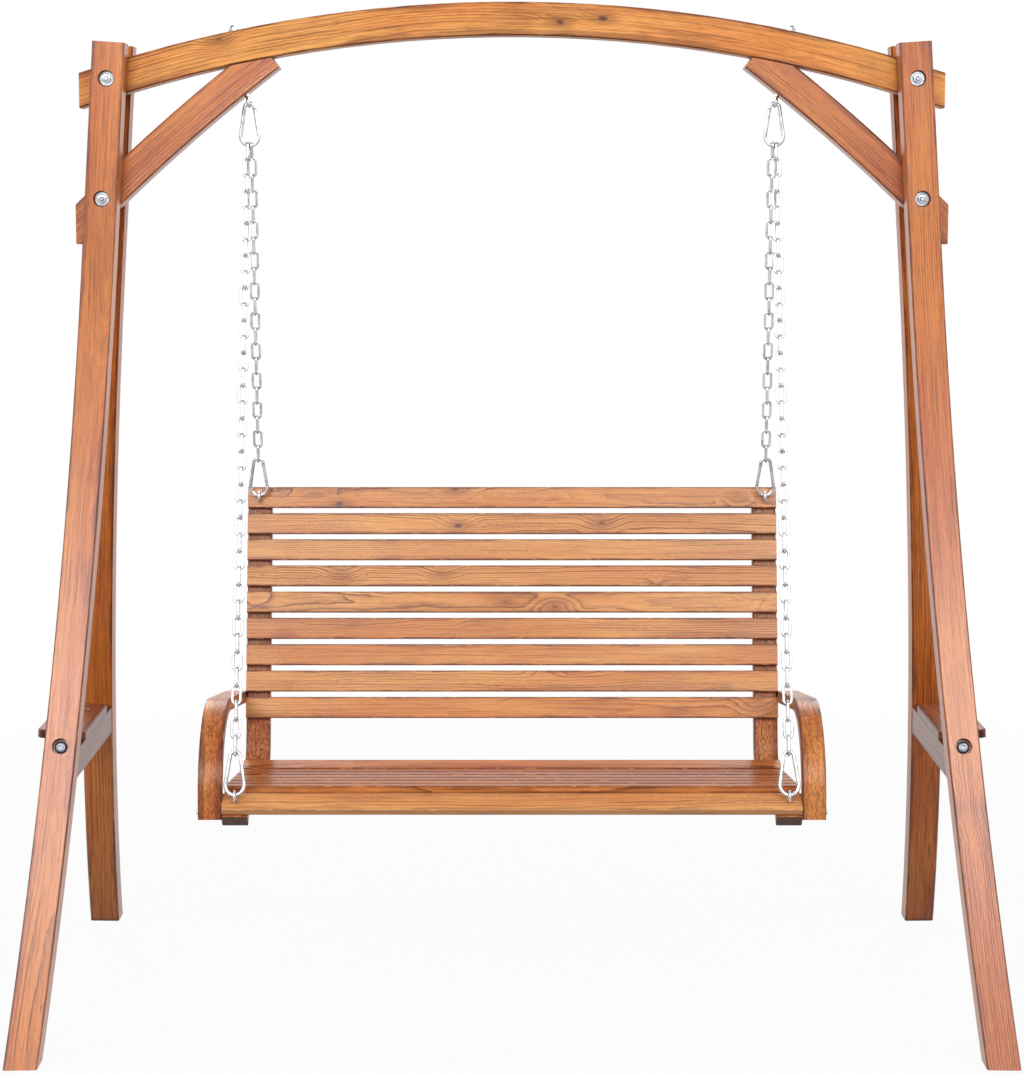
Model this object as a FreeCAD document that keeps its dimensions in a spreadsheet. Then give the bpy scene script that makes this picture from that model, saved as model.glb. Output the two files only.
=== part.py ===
import FreeCAD
import Part
import math
import os
import re
import Sketcher

# Two-seat swing bench: a stand of four curved legs under an arched beam, and a slatted bench
# on chains that swings below it. +Z is up, +X runs along the seat, the sitter faces -Y.
# The origin is on the floor, in the middle of the stand. All sizes are in millimetres.

Vec = FreeCAD.Vector
Turn = FreeCAD.Rotation
Place = FreeCAD.Placement

LEFT, RIGHT = -1, 1
FRONT, REAR = -1, 1
SIDES = {"left": LEFT, "right": RIGHT}
ROWS = {"front": FRONT, "rear": REAR}

SIZES = {
    # legs
    "leg_height": 1870.0,
    "leg_width": 62.0,
    "leg_depth": 52.0,
    "leg_bend_radius": 2600.0,
    "leg_bend_start": 1462.0,
    "leg_top_spread": 768.0,
    "leg_lean": 3.9,
    "leg_edge_bevel": 3.0,
    # arched beam
    "beam_height": 64.0,
    "beam_depth": 62.0,
    "beam_radius": 2650.0,
    "beam_crown": 1949.0,
    "beam_half_length": 834.0,
    "beam_edge_bevel": 3.0,
    # knee braces
    "brace_width": 62.0,
    "brace_radius": 3500.0,
    "brace_tip_spread": 448.0,
    "brace_tip_drop": 22.0,
    "brace_tip_slope": 37.0,
    "brace_tail_spread": 845.0,
    "brace_edge_bevel": 3.0,
    "brace_tail_round": 12.0,
    # spreaders
    "rail_height": 60.0,
    "rail_width": 60.0,
    "rail_bottom": 473.0,
    "board_thickness": 17.0,
    "board_length": 292.0,
    "board_width": 93.0,
    "board_corner_round": 14.0,
    "board_edge_round": 4.0,
    # bolts of the stand
    "bolt_radius": 4.0,
    "bolt_hole_radius": 4.3,
    "bolt_end": 4.0,
    "bolt_head_height": 5.3,
    "hex_radius": 8.6,
    "nut_height": 6.5,
    "washer_radius": 13.5,
    "washer_thickness": 2.0,
    "counterbore_radius": 15.75,
    "counterbore_depth": 13.0,
    "beam_bolt_spread": 774.0,
    "beam_bolt_height": 1801.0,
    "brace_bolt_spread": 787.0,
    "brace_bolt_height": 1573.0,
    "spreader_bolt_height": 542.0,
    "spreader_bolt_reach": 48.0,
    "socket_head_radius": 12.0,
    "socket_head_height": 6.5,
    "socket_radius": 4.6,
    "socket_depth": 4.0,
    "barrel_radius": 6.0,
    "barrel_length": 30.0,
    # eye bolts
    "eye_inner_radius": 6.5,
    "eye_wire": 5.5,
    "eye_stand_off": 14.0,
    "top_eye_angle": 11.73,
    # hooks and gates
    "hook_length": 88.0,
    "hook_wire": 7.0,
    "hook_narrow_radius": 9.5,
    "hook_wide_radius": 17.5,
    "gate_pivot": 6.0,
    "gate_wire": 6.4,
    "gate_nose": 3.0,
    "gate_pin_radius": 1.3,
    "tongue_thickness": 2.6,
    # chains
    "chain_wire": 5.0,
    "chain_width": 20.0,
    "front_links": 37.0,
    "rear_links": 21.0,
    "chain_apart": 3.4,
    # bent frames of the bench
    "strip_thickness": 24.0,
    "strip_width": 49.0,
    "strip_edge_round": 3.0,
    "frame_outer": 543.0,
    "front_end_y": -353.5,
    "front_end_z": 427.1,
    "front_slope": 36.0,
    "front_margin": 4.0,
    "front_slat_lap": 3.0,
    "front_bend": 30.0,
    "seat_slope": 6.5,
    "seat_bend": 30.0,
    "seat_rise": 12.0,
    "rear_bend": 50.0,
    "back_lean": 12.75,
    "back_clear": 52.0,
    "back_end_inset": 3.0,
    # slats
    "slat_width": 43.0,
    "slat_thickness": 15.0,
    "slat_edge_round": 2.5,
    "seat_gap": 12.0,
    "back_gap": 10.9,
    "slat_margin": 2.0,
    "flat_slats": 6.0,
    "back_slats": 9.0,
    # arms
    "arm_width": 45.0,
    "arm_slope": 7.9,
    "arm_straight": 317.0,
    "arm_bend": 173.0,
    "arm_drop": 24.0,
    "arm_set_back": 6.0,
    "arm_foot_drop": 7.1,
    "arm_screw_bite": 16.0,
    # screws
    "screw_radius": 2.0,
    "screw_head_radius": 4.0,
    "screw_head_height": 2.4,
    "screw_bite": 10.0,
    "arm_screw_radius": 3.0,
    "arm_screw_head_radius": 6.0,
    "arm_screw_head_height": 3.6,
    # fits
    "seat_fit": 0.2,
    "end_fit": 0.3,
    "hole_fit": 0.1,
    "pin_fit": 0.05,
    "fork_fit": 0.2,
    "ring_fit": 0.3,
    "link_fit": 0.3,
    "hook_fit": 0.7,
    "nose_fit": 0.6,
}

doc = FreeCAD.newDocument("SwingBench")
sheet = doc.addObject("Spreadsheet::Sheet", "Sizes")
for row, (alias, number) in enumerate(SIZES.items(), start=1):
    sheet.set("A%d" % row, alias)
    sheet.set("B%d" % row, str(number))
    sheet.setAlias("B%d" % row, alias)
doc.recompute()


def val(alias):
    """Number in the sheet's cell of that name."""
    return float(sheet.get(alias))


def bind(item, prop, text):
    """Tie a property to the sheet; every alias in the text is looked up there."""
    def link(match):
        word = match.group()
        return "Sizes." + word if word in SIZES else word
    item.setExpression(prop, re.sub(r"[a-z_]+", link, text))


def rad(alias):
    return math.radians(val(alias))


# Bodies, sketches and features


def new_body(label):
    body = doc.addObject("PartDesign::Body", label)
    body.Label = label
    return body


def origin_plane(body, role):
    return [plane for plane in body.Origin.OriginFeatures if plane.Role == role][0]


def line(start, end):
    return {"kind": "line", "start": start, "end": end}


def arc(start, end, centre, left, radius):
    """Edge that bends left or right about a centre; radius is a sheet expression."""
    return {"kind": "arc", "start": start, "end": end, "centre": centre, "left": left, "radius": radius}


def draw(body, role, edges, closed=True):
    """Sketch a run of edges on one of the body's own planes."""
    sketch = doc.addObject("Sketcher::SketchObject", body.Label + "_outline")
    body.addObject(sketch)
    sketch.AttachmentSupport = [(origin_plane(body, role), "")]
    sketch.MapMode = "FlatFace"
    ends = []
    for edge in edges:
        start, end = Vec(*edge["start"], 0), Vec(*edge["end"], 0)
        if edge["kind"] == "line":
            ends.append((sketch.addGeometry(Part.LineSegment(start, end), False), 1, 2))
            continue
        centre = Vec(*edge["centre"], 0)
        first, last = (start, end) if edge["left"] else (end, start)
        low = math.atan2(first.y - centre.y, first.x - centre.x)
        high = math.atan2(last.y - centre.y, last.x - centre.x)
        if high < low:
            high += 2 * math.pi
        circle = Part.Circle(centre, Vec(0, 0, 1), (first - centre).Length)
        index = sketch.addGeometry(Part.ArcOfCircle(circle, low, high), False)
        ends.append((index, 1, 2) if edge["left"] else (index, 2, 1))
    joints = list(zip(ends, ends[1:] + ends[:1])) if closed else list(zip(ends, ends[1:]))
    for before, after in joints:
        sketch.addConstraint(Sketcher.Constraint("Coincident", before[0], before[2], after[0], after[1]))
    for edge, end in zip(edges, ends):
        if edge["kind"] == "arc":
            size = math.dist(edge["start"], edge["centre"])
            number = sketch.addConstraint(Sketcher.Constraint("Radius", end[0], size))
            bind(sketch, "Constraints[%d]" % number, edge["radius"])
    return sketch


def draw_circle(body, role, centre, radius):
    sketch = doc.addObject("Sketcher::SketchObject", body.Label + "_section")
    body.addObject(sketch)
    sketch.AttachmentSupport = [(origin_plane(body, role), "")]
    sketch.MapMode = "FlatFace"
    sketch.addGeometry(Part.Circle(Vec(*centre, 0), Vec(0, 0, 1), 1.0), False)
    number = sketch.addConstraint(Sketcher.Constraint("Radius", 0, 1.0))
    bind(sketch, "Constraints[%d]" % number, radius)
    return sketch


def pad(body, sketch, length):
    """Thicken a closed sketch equally to both sides."""
    feature = doc.addObject("PartDesign::Pad", body.Label + "_pad")
    body.addObject(feature)
    feature.Profile = sketch
    feature.SideType = "Symmetric"
    bind(feature, "Length", length)
    doc.recompute()
    return feature


def solid_of(body, kind, place, sizes):
    feature = doc.addObject("PartDesign::" + kind, body.Label + "_" + kind.lower())
    body.addObject(feature)
    feature.AttachmentSupport = [(origin_plane(body, "XY_Plane"), "")]
    feature.MapMode = "FlatFace"
    feature.AttachmentOffset = place
    for prop, text in sizes.items():
        bind(feature, prop, text)
    return feature


def add(body, shape, place=Place(), **sizes):
    return solid_of(body, "Additive" + shape, place, sizes)


def cut(body, shape, place=Place(), **sizes):
    return solid_of(body, "Subtractive" + shape, place, sizes)


def bore(body, place, radius, depth):
    """Round hole along the place's own Z."""
    return cut(body, "Cylinder", place, Radius=radius, Height=depth)


def cut_below(body, role, corners):
    """Cut a sketched wedge right through the body, both ways from the plane."""
    edges = [line(a, b) for a, b in zip(corners, corners[1:] + corners[:1])]
    feature = doc.addObject("PartDesign::Pocket", body.Label + "_trim")
    sketch = draw(body, role, edges)
    body.addObject(feature)
    feature.Profile = sketch
    feature.SideType = "Symmetric"
    feature.Type = "ThroughAll"
    doc.recompute()
    return feature


def dress_edges(body, kind, prop, size, chosen):
    """Dress every edge of the body's latest feature that the test accepts."""
    doc.recompute()
    tip = body.Tip
    names = ["Edge%d" % n for n, edge in enumerate(tip.Shape.Edges, start=1) if chosen(edge)]
    feature = doc.addObject("PartDesign::" + kind, body.Label + "_" + kind.lower())
    body.addObject(feature)
    feature.Base = (tip, names)
    bind(feature, prop, size)
    doc.recompute()
    return feature


def round_edges(body, radius, chosen):
    return dress_edges(body, "Fillet", "Radius", radius, chosen)


def bevel_edges(body, size, chosen):
    return dress_edges(body, "Chamfer", "Size", size, chosen)


def middle(edge):
    return edge.valueAt((edge.FirstParameter + edge.LastParameter) / 2)


def on_cheek(edge, half):
    """Edge at a distance to either side along X."""
    return abs(abs(middle(edge).x) - half) < 0.01


def flat_sides(edge, half):
    """Edge at a distance to either side along Y."""
    return abs(abs(middle(edge).y) - half) < 0.01


def pointing(direction, origin):
    """Placement whose own Z runs along a direction."""
    return Place(origin, Turn(Vec(0, 0, 1), direction))


def framed(origin, along_z, along_x):
    """Placement with its own Z along one direction and its own X nearest to another."""
    return Place(origin, Turn(along_x, Vec(), along_z, "ZXY"))


def group(label, body, places):
    """Node of identical pieces: one drawn piece and its places."""
    links = []
    for number, place in enumerate(places):
        copy = doc.addObject("App::Link", "%s_%d" % (label, number))
        copy.LinkedObject = body
        copy.LinkTransform = False
        copy.Placement = place
        links.append(copy)
    compound = doc.addObject("Part::Compound", label)
    compound.Label = label
    compound.Links = links
    return compound


class Run:
    """Path of straight and bent stretches in a plane, followed from its first end."""

    def __init__(self, x, y, heading):
        self.stretches = []
        self.ends = [(x, y, math.radians(heading))]

    @property
    def length(self):
        return sum(stretch["length"] for stretch in self.stretches)

    def straight(self, length):
        x, y, heading = self.ends[-1]
        self.stretches.append({"length": length, "bend": None})
        self.ends.append((x + length * math.cos(heading), y + length * math.sin(heading), heading))

    def bend(self, alias, angle):
        """Bend by an angle in degrees, positive to the left, at a radius from the sheet."""
        x, y, heading = self.ends[-1]
        side = 1 if angle > 0 else -1
        radius, angle = val(alias), math.radians(angle)
        centre = (x - side * radius * math.sin(heading), y + side * radius * math.cos(heading))
        self.stretches.append({"length": radius * abs(angle), "bend": (alias, side, centre)})
        heading += angle
        end = (centre[0] + side * radius * math.sin(heading), centre[1] - side * radius * math.cos(heading))
        self.ends.append((end[0], end[1], heading))

    def at(self, distance):
        """Point and heading at a distance along a straight stretch of the path."""
        for stretch, (x, y, heading) in zip(self.stretches, self.ends):
            if distance <= stretch["length"]:
                return x + distance * math.cos(heading), y + distance * math.sin(heading), heading
            distance -= stretch["length"]
        raise ValueError("beyond the end of the path")

    def strip(self, thickness):
        """Closed outline of a strip that lies to the right of the path."""
        deep = val(thickness)
        near = [(x, y) for x, y, _ in self.ends]
        far = [(x + deep * math.sin(a), y - deep * math.cos(a)) for x, y, a in self.ends]
        there, back = [], []
        for number, stretch in enumerate(self.stretches):
            if stretch["bend"] is None:
                there.append(line(near[number], near[number + 1]))
                back.append(line(far[number + 1], far[number]))
                continue
            alias, side, centre = stretch["bend"]
            sign = "+" if side > 0 else "-"
            there.append(arc(near[number], near[number + 1], centre, side > 0, alias))
            outer = "%s %s %s" % (alias, sign, thickness)
            back.append(arc(far[number + 1], far[number], centre, side < 0, outer))
        return there + [line(near[-1], far[-1])] + back[::-1] + [line(far[0], near[0])]


# Places that several pieces share

LEAN = rad("leg_lean")
LEG_LENGTH = val("leg_height") / math.cos(LEAN)
FLOOR_SPREAD = val("leg_top_spread") + val("leg_height") * math.tan(LEAN)
LEG_LINE = (val("beam_depth") + val("leg_depth")) / 2
BEND_CENTRE = (LEG_LINE + val("leg_bend_radius"), val("leg_bend_start") / math.cos(LEAN))
BEAM_CENTRE = val("beam_crown") - val("beam_radius")
BEAM_INNER = val("beam_radius") - val("beam_height")
HALF_TURN = Place(Vec(), Turn(Vec(0, 0, 1), 180))
LONG_CUT = 400.0


def side_place(side):
    """Frame of one side of the stand: on the floor below the legs, leaning with them."""
    turn = Turn(Vec(0, 1, 0), -side * val("leg_lean"))
    return Place(Vec(side * FLOOR_SPREAD, 0, 0), turn)


def bolt_frame(radius, angle):
    """Point and outward direction, seen from the side, on a line through the leg's bend centre."""
    y = BEND_CENTRE[0] - radius * math.cos(angle)
    z = BEND_CENTRE[1] - radius * math.sin(angle)
    return Vec(0, y, z), Vec(0, math.cos(angle), math.sin(angle))


LEG_OUTER = val("leg_bend_radius") - val("leg_depth") / 2
LEG_INNER = val("leg_bend_radius") + val("leg_depth") / 2
SPREADER_ANGLE = math.asin((BEND_CENTRE[1] - val("spreader_bolt_height")) / LEG_OUTER)
RAIL_MIDDLE = val("rail_bottom") + val("rail_height") / 2
RAIL_ANGLE = math.asin((BEND_CENTRE[1] - RAIL_MIDDLE) / LEG_INNER)
TOP_BOLTS = [
    (val("beam_bolt_spread"), val("beam_bolt_height")),
    (val("brace_bolt_spread"), val("brace_bolt_height")),
]
STAND_HALF_DEPTH = val("beam_depth") / 2 + val("leg_depth")
BOLT_SEAT = STAND_HALF_DEPTH - val("counterbore_depth")


def leg(label, side, row):
    """Curved leg; a front leg is the rear leg of the other side turned half round."""
    lean = side * row
    body = new_body(label)
    foot_angle = math.asin((BEND_CENTRE[1] + val("leg_depth")) / LEG_OUTER)
    inner_y = LEG_LINE - val("leg_depth") / 2
    outer_y = LEG_LINE + val("leg_depth") / 2

    def on_bend(radius):
        point, _ = bolt_frame(radius, foot_angle)
        return point.y, point.z

    outline = [
        line((inner_y, BEND_CENTRE[1]), (inner_y, LEG_LENGTH)),
        line((inner_y, LEG_LENGTH), (outer_y, LEG_LENGTH)),
        line((outer_y, LEG_LENGTH), (outer_y, BEND_CENTRE[1])),
        arc((outer_y, BEND_CENTRE[1]), on_bend(LEG_OUTER), BEND_CENTRE, True,
            "leg_bend_radius - leg_depth / 2"),
        line(on_bend(LEG_OUTER), on_bend(LEG_INNER)),
        arc(on_bend(LEG_INNER), (inner_y, BEND_CENTRE[1]), BEND_CENTRE, False,
            "leg_bend_radius + leg_depth / 2"),
    ]
    pad(body, draw(body, "YZ_Plane", outline), "leg_width")
    half = val("leg_width") / 2
    bevel_edges(body, "leg_edge_bevel",
                lambda edge: on_cheek(edge, half) and edge.Length > val("leg_depth") * 1.5)
    far = LONG_CUT
    rise = far * math.tan(LEAN) * lean
    cut_below(body, "XZ_Plane", [(-far, rise), (far, -rise), (far, -far), (-far, -far)])
    inverse = side_place(lean).inverse()
    for spread, height in TOP_BOLTS:
        point = inverse.multVec(Vec(lean * spread, 0, height))
        bore(body, pointing(Vec(0, 1, 0), point), "bolt_hole_radius", "beam_depth / 2 + leg_depth + 1")
        bore(body, pointing(Vec(0, 1, 0), point + Vec(0, BOLT_SEAT, 0)), "counterbore_radius",
             "counterbore_depth + 1")
    seat, outward = bolt_frame(LEG_OUTER + val("counterbore_depth"), SPREADER_ANGLE)
    bore(body, pointing(outward, seat), "counterbore_radius", "counterbore_depth * 2")
    bore(body, pointing(outward, seat - outward * val("leg_depth")), "bolt_hole_radius",
         "leg_depth + 1")
    place = side_place(lean)
    body.Placement = place if row == REAR else HALF_TURN.multiply(place)


def on_beam(radius, spread):
    """Height of an arc about the beam's centre at a distance from the mid plane."""
    return BEAM_CENTRE + math.sqrt(radius ** 2 - spread ** 2)


def eye_axis(side):
    """Direction of a top eye bolt, square to the beam."""
    angle = side * rad("top_eye_angle")
    return Vec(math.sin(angle), 0, math.cos(angle))


def arch_beam():
    body = new_body("arch_beam")
    half = val("beam_half_length")
    outer, inner = val("beam_radius"), BEAM_INNER
    centre = (0.0, BEAM_CENTRE)
    upper = [(half, on_beam(outer, half)), (-half, on_beam(outer, half))]
    lower = [(-half, on_beam(inner, half)), (half, on_beam(inner, half))]
    outline = [
        arc(upper[0], upper[1], centre, True, "beam_radius"),
        line(upper[1], lower[0]),
        arc(lower[0], lower[1], centre, False, "beam_radius - beam_height"),
        line(lower[1], upper[0]),
    ]
    pad(body, draw(body, "XZ_Plane", outline), "beam_depth")
    bevel_edges(body, "beam_edge_bevel",
                lambda edge: flat_sides(edge, val("beam_depth") / 2) and edge.Length > val("beam_height") * 2)
    for side in SIDES.values():
        point = Vec(side * val("beam_bolt_spread"), -val("beam_depth"), val("beam_bolt_height"))
        bore(body, pointing(Vec(0, 1, 0), point), "bolt_hole_radius", "beam_depth * 2")
        axis = eye_axis(side)
        start = Vec(0, 0, BEAM_CENTRE) + axis * (BEAM_INNER - val("beam_height"))
        bore(body, pointing(axis, start), "bolt_hole_radius", "beam_height * 3")


def crossing(first, first_radius, second, second_radius):
    """Upper crossing of two circles."""
    gap = math.dist(first, second)
    along = (gap ** 2 + first_radius ** 2 - second_radius ** 2) / (2 * gap)
    aside = math.sqrt(first_radius ** 2 - along ** 2)
    ux, uy = (second[0] - first[0]) / gap, (second[1] - first[1]) / gap
    foot = (first[0] + along * ux, first[1] + along * uy)
    points = [(foot[0] - s * aside * uy, foot[1] + s * aside * ux) for s in (1, -1)]
    return max(points, key=lambda point: point[1])


TIP_X = val("brace_tip_spread")
TIP_Z = on_beam(BEAM_INNER, TIP_X) - val("brace_tip_drop")
TIP_SLOPE = rad("brace_tip_slope")
BRACE_INNER = val("brace_radius")
BRACE_CENTRE = (TIP_X - BRACE_INNER * math.sin(TIP_SLOPE), TIP_Z - BRACE_INNER * math.cos(TIP_SLOPE))
BRACE_OUTER = val("brace_radius") + val("brace_width")


def on_brace(radius, spread):
    return BRACE_CENTRE[1] + math.sqrt(radius ** 2 - (spread - BRACE_CENTRE[0]) ** 2)


def brace_underside():
    """Distance from the beam's centre at which a top eye bolt leaves the brace."""
    axis = eye_axis(RIGHT)
    dx, dz = BRACE_CENTRE[0], BRACE_CENTRE[1] - BEAM_CENTRE
    along = dx * axis.x + dz * axis.z
    return along + math.sqrt(along ** 2 - dx ** 2 - dz ** 2 + val("brace_radius") ** 2)


def bulge_centre(start, end, radius):
    """Centre, on the left, of the arc of a radius between two points."""
    half = math.dist(start, end) / 2
    ux, uy = (end[0] - start[0]) / (2 * half), (end[1] - start[1]) / (2 * half)
    aside = math.sqrt(radius ** 2 - half ** 2)
    return (start[0] + end[0]) / 2 - aside * uy, (start[1] + end[1]) / 2 + aside * ux


def brace(label, side):
    """Knee brace whose upper end is cut to the underside of the beam."""
    body = new_body(label)
    tail = val("brace_tail_spread")
    under = BEAM_INNER - val("seat_fit")
    beam_centre = (0.0, BEAM_CENTRE)
    tip = (TIP_X, TIP_Z)
    across = (math.sin(TIP_SLOPE), math.cos(TIP_SLOPE))
    along = tip[0] * across[0] + (tip[1] - BEAM_CENTRE) * across[1]
    reach = -along + math.sqrt(along ** 2 + under ** 2 - tip[0] ** 2 - (tip[1] - BEAM_CENTRE) ** 2)
    tip_top = (tip[0] + reach * across[0], tip[1] + reach * across[1])
    meet = crossing(BRACE_CENTRE, BRACE_OUTER, beam_centre, under)
    high = (tail, on_brace(BRACE_OUTER, tail))
    heel = (tail - val("brace_tail_round"), on_brace(val("brace_radius"), tail - val("brace_tail_round")))
    toe = (tail, on_brace(val("brace_radius"), tail) + val("brace_tail_round"))
    outline = [
        arc(tip, heel, BRACE_CENTRE, False, "brace_radius"),
        arc(heel, toe, bulge_centre(heel, toe, val("brace_tail_round") * 1.6), True,
            "brace_tail_round * 1.6"),
        line(toe, high),
        arc(high, meet, BRACE_CENTRE, True, "brace_radius + brace_width"),
        arc(meet, tip_top, beam_centre, True, "beam_radius - beam_height - seat_fit"),
        line(tip_top, tip),
    ]
    pad(body, draw(body, "XZ_Plane", outline), "beam_depth")
    half = val("beam_depth") / 2
    bevel_edges(body, "brace_edge_bevel",
                lambda edge: flat_sides(edge, half) and edge.Length > val("brace_width") * 2)
    point = Vec(val("brace_bolt_spread"), -val("beam_depth"), val("brace_bolt_height"))
    bore(body, pointing(Vec(0, 1, 0), point), "bolt_hole_radius", "beam_depth * 2")
    axis = eye_axis(RIGHT)
    start = Vec(0, 0, BEAM_CENTRE) + axis * (brace_underside() - val("brace_width"))
    bore(body, pointing(axis, start), "bolt_hole_radius", "brace_width * 3")
    body.Placement = Place() if side == RIGHT else HALF_TURN


def spreader_rail(label, side):
    """Rail between the two legs of a side, its ends cut square to the bend of the legs."""
    body = new_body(label)
    touch, outward = bolt_frame(LEG_INNER + val("seat_fit"), RAIL_ANGLE)
    low, high = val("rail_bottom"), val("rail_bottom") + val("rail_height")

    def end_at(z):
        return touch.y - (z - touch.z) * outward.z / outward.y

    corners = [(-end_at(low), low), (end_at(low), low), (end_at(high), high), (-end_at(high), high)]
    edges = [line(a, b) for a, b in zip(corners, corners[1:] + corners[:1])]
    pad(body, draw(body, "YZ_Plane", edges), "rail_width")
    half = val("rail_width") / 2
    round_edges(body, "board_edge_round",
                lambda edge: on_cheek(edge, half) and abs(middle(edge).z - low) < 0.01)
    for row in ROWS.values():
        turn = Place() if row == REAR else HALF_TURN
        nut, direction = bolt_frame(LEG_INNER + val("spreader_bolt_reach"), SPREADER_ANGLE)
        start = nut - direction * val("barrel_radius") * 2
        bore(body, turn.multiply(pointing(direction, start)), "bolt_hole_radius",
             "spreader_bolt_reach + barrel_radius * 4")
        outside = Vec(side * half, nut.y * row, nut.z)
        bore(body, pointing(Vec(-side, 0, 0), outside), "barrel_radius + hole_fit",
             "rail_width / 2 + barrel_length / 2 + hole_fit")
    for spot in board_screw_spots():
        bore(body, pointing(Vec(0, 0, -1), Vec(0, spot, high + 1)), "screw_radius + hole_fit",
             "screw_bite * 2 + 2")
    body.Placement = side_place(side)


def board_screw_spots():
    return [row * val("board_length") * 0.3 for row in ROWS.values()]


def spreader_board(label, side):
    """Flat board on a rail, flush on the inside and overhanging outwards."""
    body = new_body(label)
    bottom = val("rail_bottom") + val("rail_height")
    inner = -side * val("rail_width") / 2
    low_x = min(inner, inner + side * val("board_width"))
    corner = Vec(low_x, -val("board_length") / 2, bottom)
    add(body, "Box", Place(corner, Turn()), Length="board_width", Width="board_length",
        Height="board_thickness")
    thick = val("board_thickness")
    round_edges(body, "board_corner_round",
                lambda edge: abs(middle(edge).z - bottom - thick / 2) < 0.01)
    round_edges(body, "board_edge_round",
                lambda edge: abs(middle(edge).z - bottom - thick) < 0.01)
    for spot in board_screw_spots():
        top = Vec(0, spot, bottom + thick)
        bore(body, pointing(Vec(0, 0, -1), top + Vec(0, 0, 1)), "screw_radius + hole_fit",
             "board_thickness + 2")
        bore(body, pointing(Vec(0, 0, -1), top), "screw_head_radius + hole_fit",
             "screw_head_height + hole_fit")
    body.Placement = side_place(side)


# Bolts, nuts and washers of the stand


def washer(label):
    body = new_body(label)
    add(body, "Cylinder", Radius="washer_radius", Height="washer_thickness")
    bore(body, Place(Vec(0, 0, -1), Turn()), "bolt_radius + hole_fit", "washer_thickness + 2")
    return body


def nut(label):
    body = new_body(label)
    prism = add(body, "Prism", Circumradius="hex_radius", Height="nut_height")
    prism.Polygon = 6
    bore(body, Place(Vec(0, 0, -1), Turn()), "bolt_radius + pin_fit", "nut_height + 2")
    return body


def through_bolt(label):
    """Hex bolt from the rear counterbores to the front ones; its own Z runs to the nut end."""
    body = new_body(label)
    prism = add(body, "Prism", Place(Vec(0, 0, -val("bolt_head_height")), Turn()),
                Circumradius="hex_radius", Height="bolt_head_height")
    prism.Polygon = 6
    add(body, "Cylinder", Radius="bolt_radius",
        Height="beam_depth + 2 * (leg_depth - counterbore_depth + washer_thickness) + nut_height + bolt_end")
    return body


def socket_bolt(label):
    """Domed bolt with a hexagonal socket; its own Z runs from the head to the barrel nut."""
    body = new_body(label)
    head = add(body, "Cylinder", Place(Vec(0, 0, -val("socket_head_height")), Turn()),
               Radius="socket_head_radius", Height="socket_head_height")
    round_edges(body, "socket_head_height * 0.55",
                lambda edge: abs(middle(edge).z + val("socket_head_height")) < 0.01)
    prism = cut(body, "Prism", Place(Vec(0, 0, -val("socket_head_height") - 1), Turn()),
                Circumradius="socket_radius", Height="socket_depth + 1")
    prism.Polygon = 6
    add(body, "Cylinder", Radius="bolt_radius",
        Height="leg_depth - counterbore_depth + spreader_bolt_reach + barrel_radius * 2")
    return body


def barrel_nut(label):
    """Cross dowel; its own Z runs along the cylinder and the bolt passes along its own X."""
    body = new_body(label)
    add(body, "Cylinder", Place(Vec(0, 0, -val("barrel_length") / 2), Turn()),
        Radius="barrel_radius", Height="barrel_length")
    bore(body, pointing(Vec(1, 0, 0), Vec(-2 * val("barrel_radius"), 0, 0)), "bolt_radius + pin_fit",
         "barrel_radius * 4")
    return body


def screw(label, length, kind="screw"):
    """Pan-head wood screw; its own Z runs from the head to the point."""
    body = new_body(label)
    add(body, "Cylinder", Place(Vec(0, 0, -val(kind + "_head_height")), Turn()),
        Radius=kind + "_head_radius", Height=kind + "_head_height")
    add(body, "Cylinder", Radius=kind + "_radius", Height=length)
    return body


def stand_hardware():
    bolts, washers, nuts = [], [], []
    for spread, height in TOP_BOLTS:
        for side in SIDES.values():
            rear = Vec(side * spread, BOLT_SEAT, height)
            front = Vec(side * spread, -BOLT_SEAT, height)
            step = Vec(0, val("washer_thickness"), 0)
            bolts.append(pointing(Vec(0, -1, 0), rear + step))
            washers += [pointing(Vec(0, 1, 0), rear), pointing(Vec(0, -1, 0), front)]
            nuts.append(pointing(Vec(0, -1, 0), front - step))
    for side in SIDES.values():
        axis = eye_axis(side)
        top = Vec(0, 0, BEAM_CENTRE) + axis * (val("beam_radius") + val("seat_fit") / 4)
        washers.append(pointing(axis, top))
        nuts.append(pointing(axis, top + axis * val("washer_thickness")))
    group("top_bolts", through_bolt("through_bolt"), bolts)
    group("stand_washers", washer("stand_washer"), washers)
    group("stand_nuts", nut("stand_nut"), nuts)

    sockets, barrels, screws = [], [], []
    for side in SIDES.values():
        for row in ROWS.values():
            turn = Place() if row == REAR else HALF_TURN
            frame = side_place(side).multiply(turn)
            seat, outward = bolt_frame(LEG_OUTER + val("counterbore_depth"), SPREADER_ANGLE)
            sockets.append(frame.multiply(pointing(outward * -1, seat)))
            core, _ = bolt_frame(LEG_INNER + val("spreader_bolt_reach"), SPREADER_ANGLE)
            barrels.append(frame.multiply(framed(core, Vec(1, 0, 0), outward)))
        for spot in board_screw_spots():
            top = val("rail_bottom") + val("rail_height") + val("board_thickness")
            height = top - val("screw_head_height")
            frame = side_place(side)
            screws.append(frame.multiply(pointing(Vec(0, 0, -1), Vec(0, spot, height))))
    group("spreader_bolts", socket_bolt("socket_bolt"), sockets)
    group("spreader_barrel_nuts", barrel_nut("barrel_nut"), barrels)
    length = "board_thickness - screw_head_height + screw_bite * 2"
    group("board_screws", screw("board_screw", length), screws)


# Eye bolts, hooks, gates and chains

EYE_MEAN = val("eye_inner_radius") + val("eye_wire") / 2
HOOK_SPAN = val("hook_length") - val("hook_wire")
HOOK_REST = val("eye_inner_radius") - val("hook_wire") / 2 - val("ring_fit")


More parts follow.
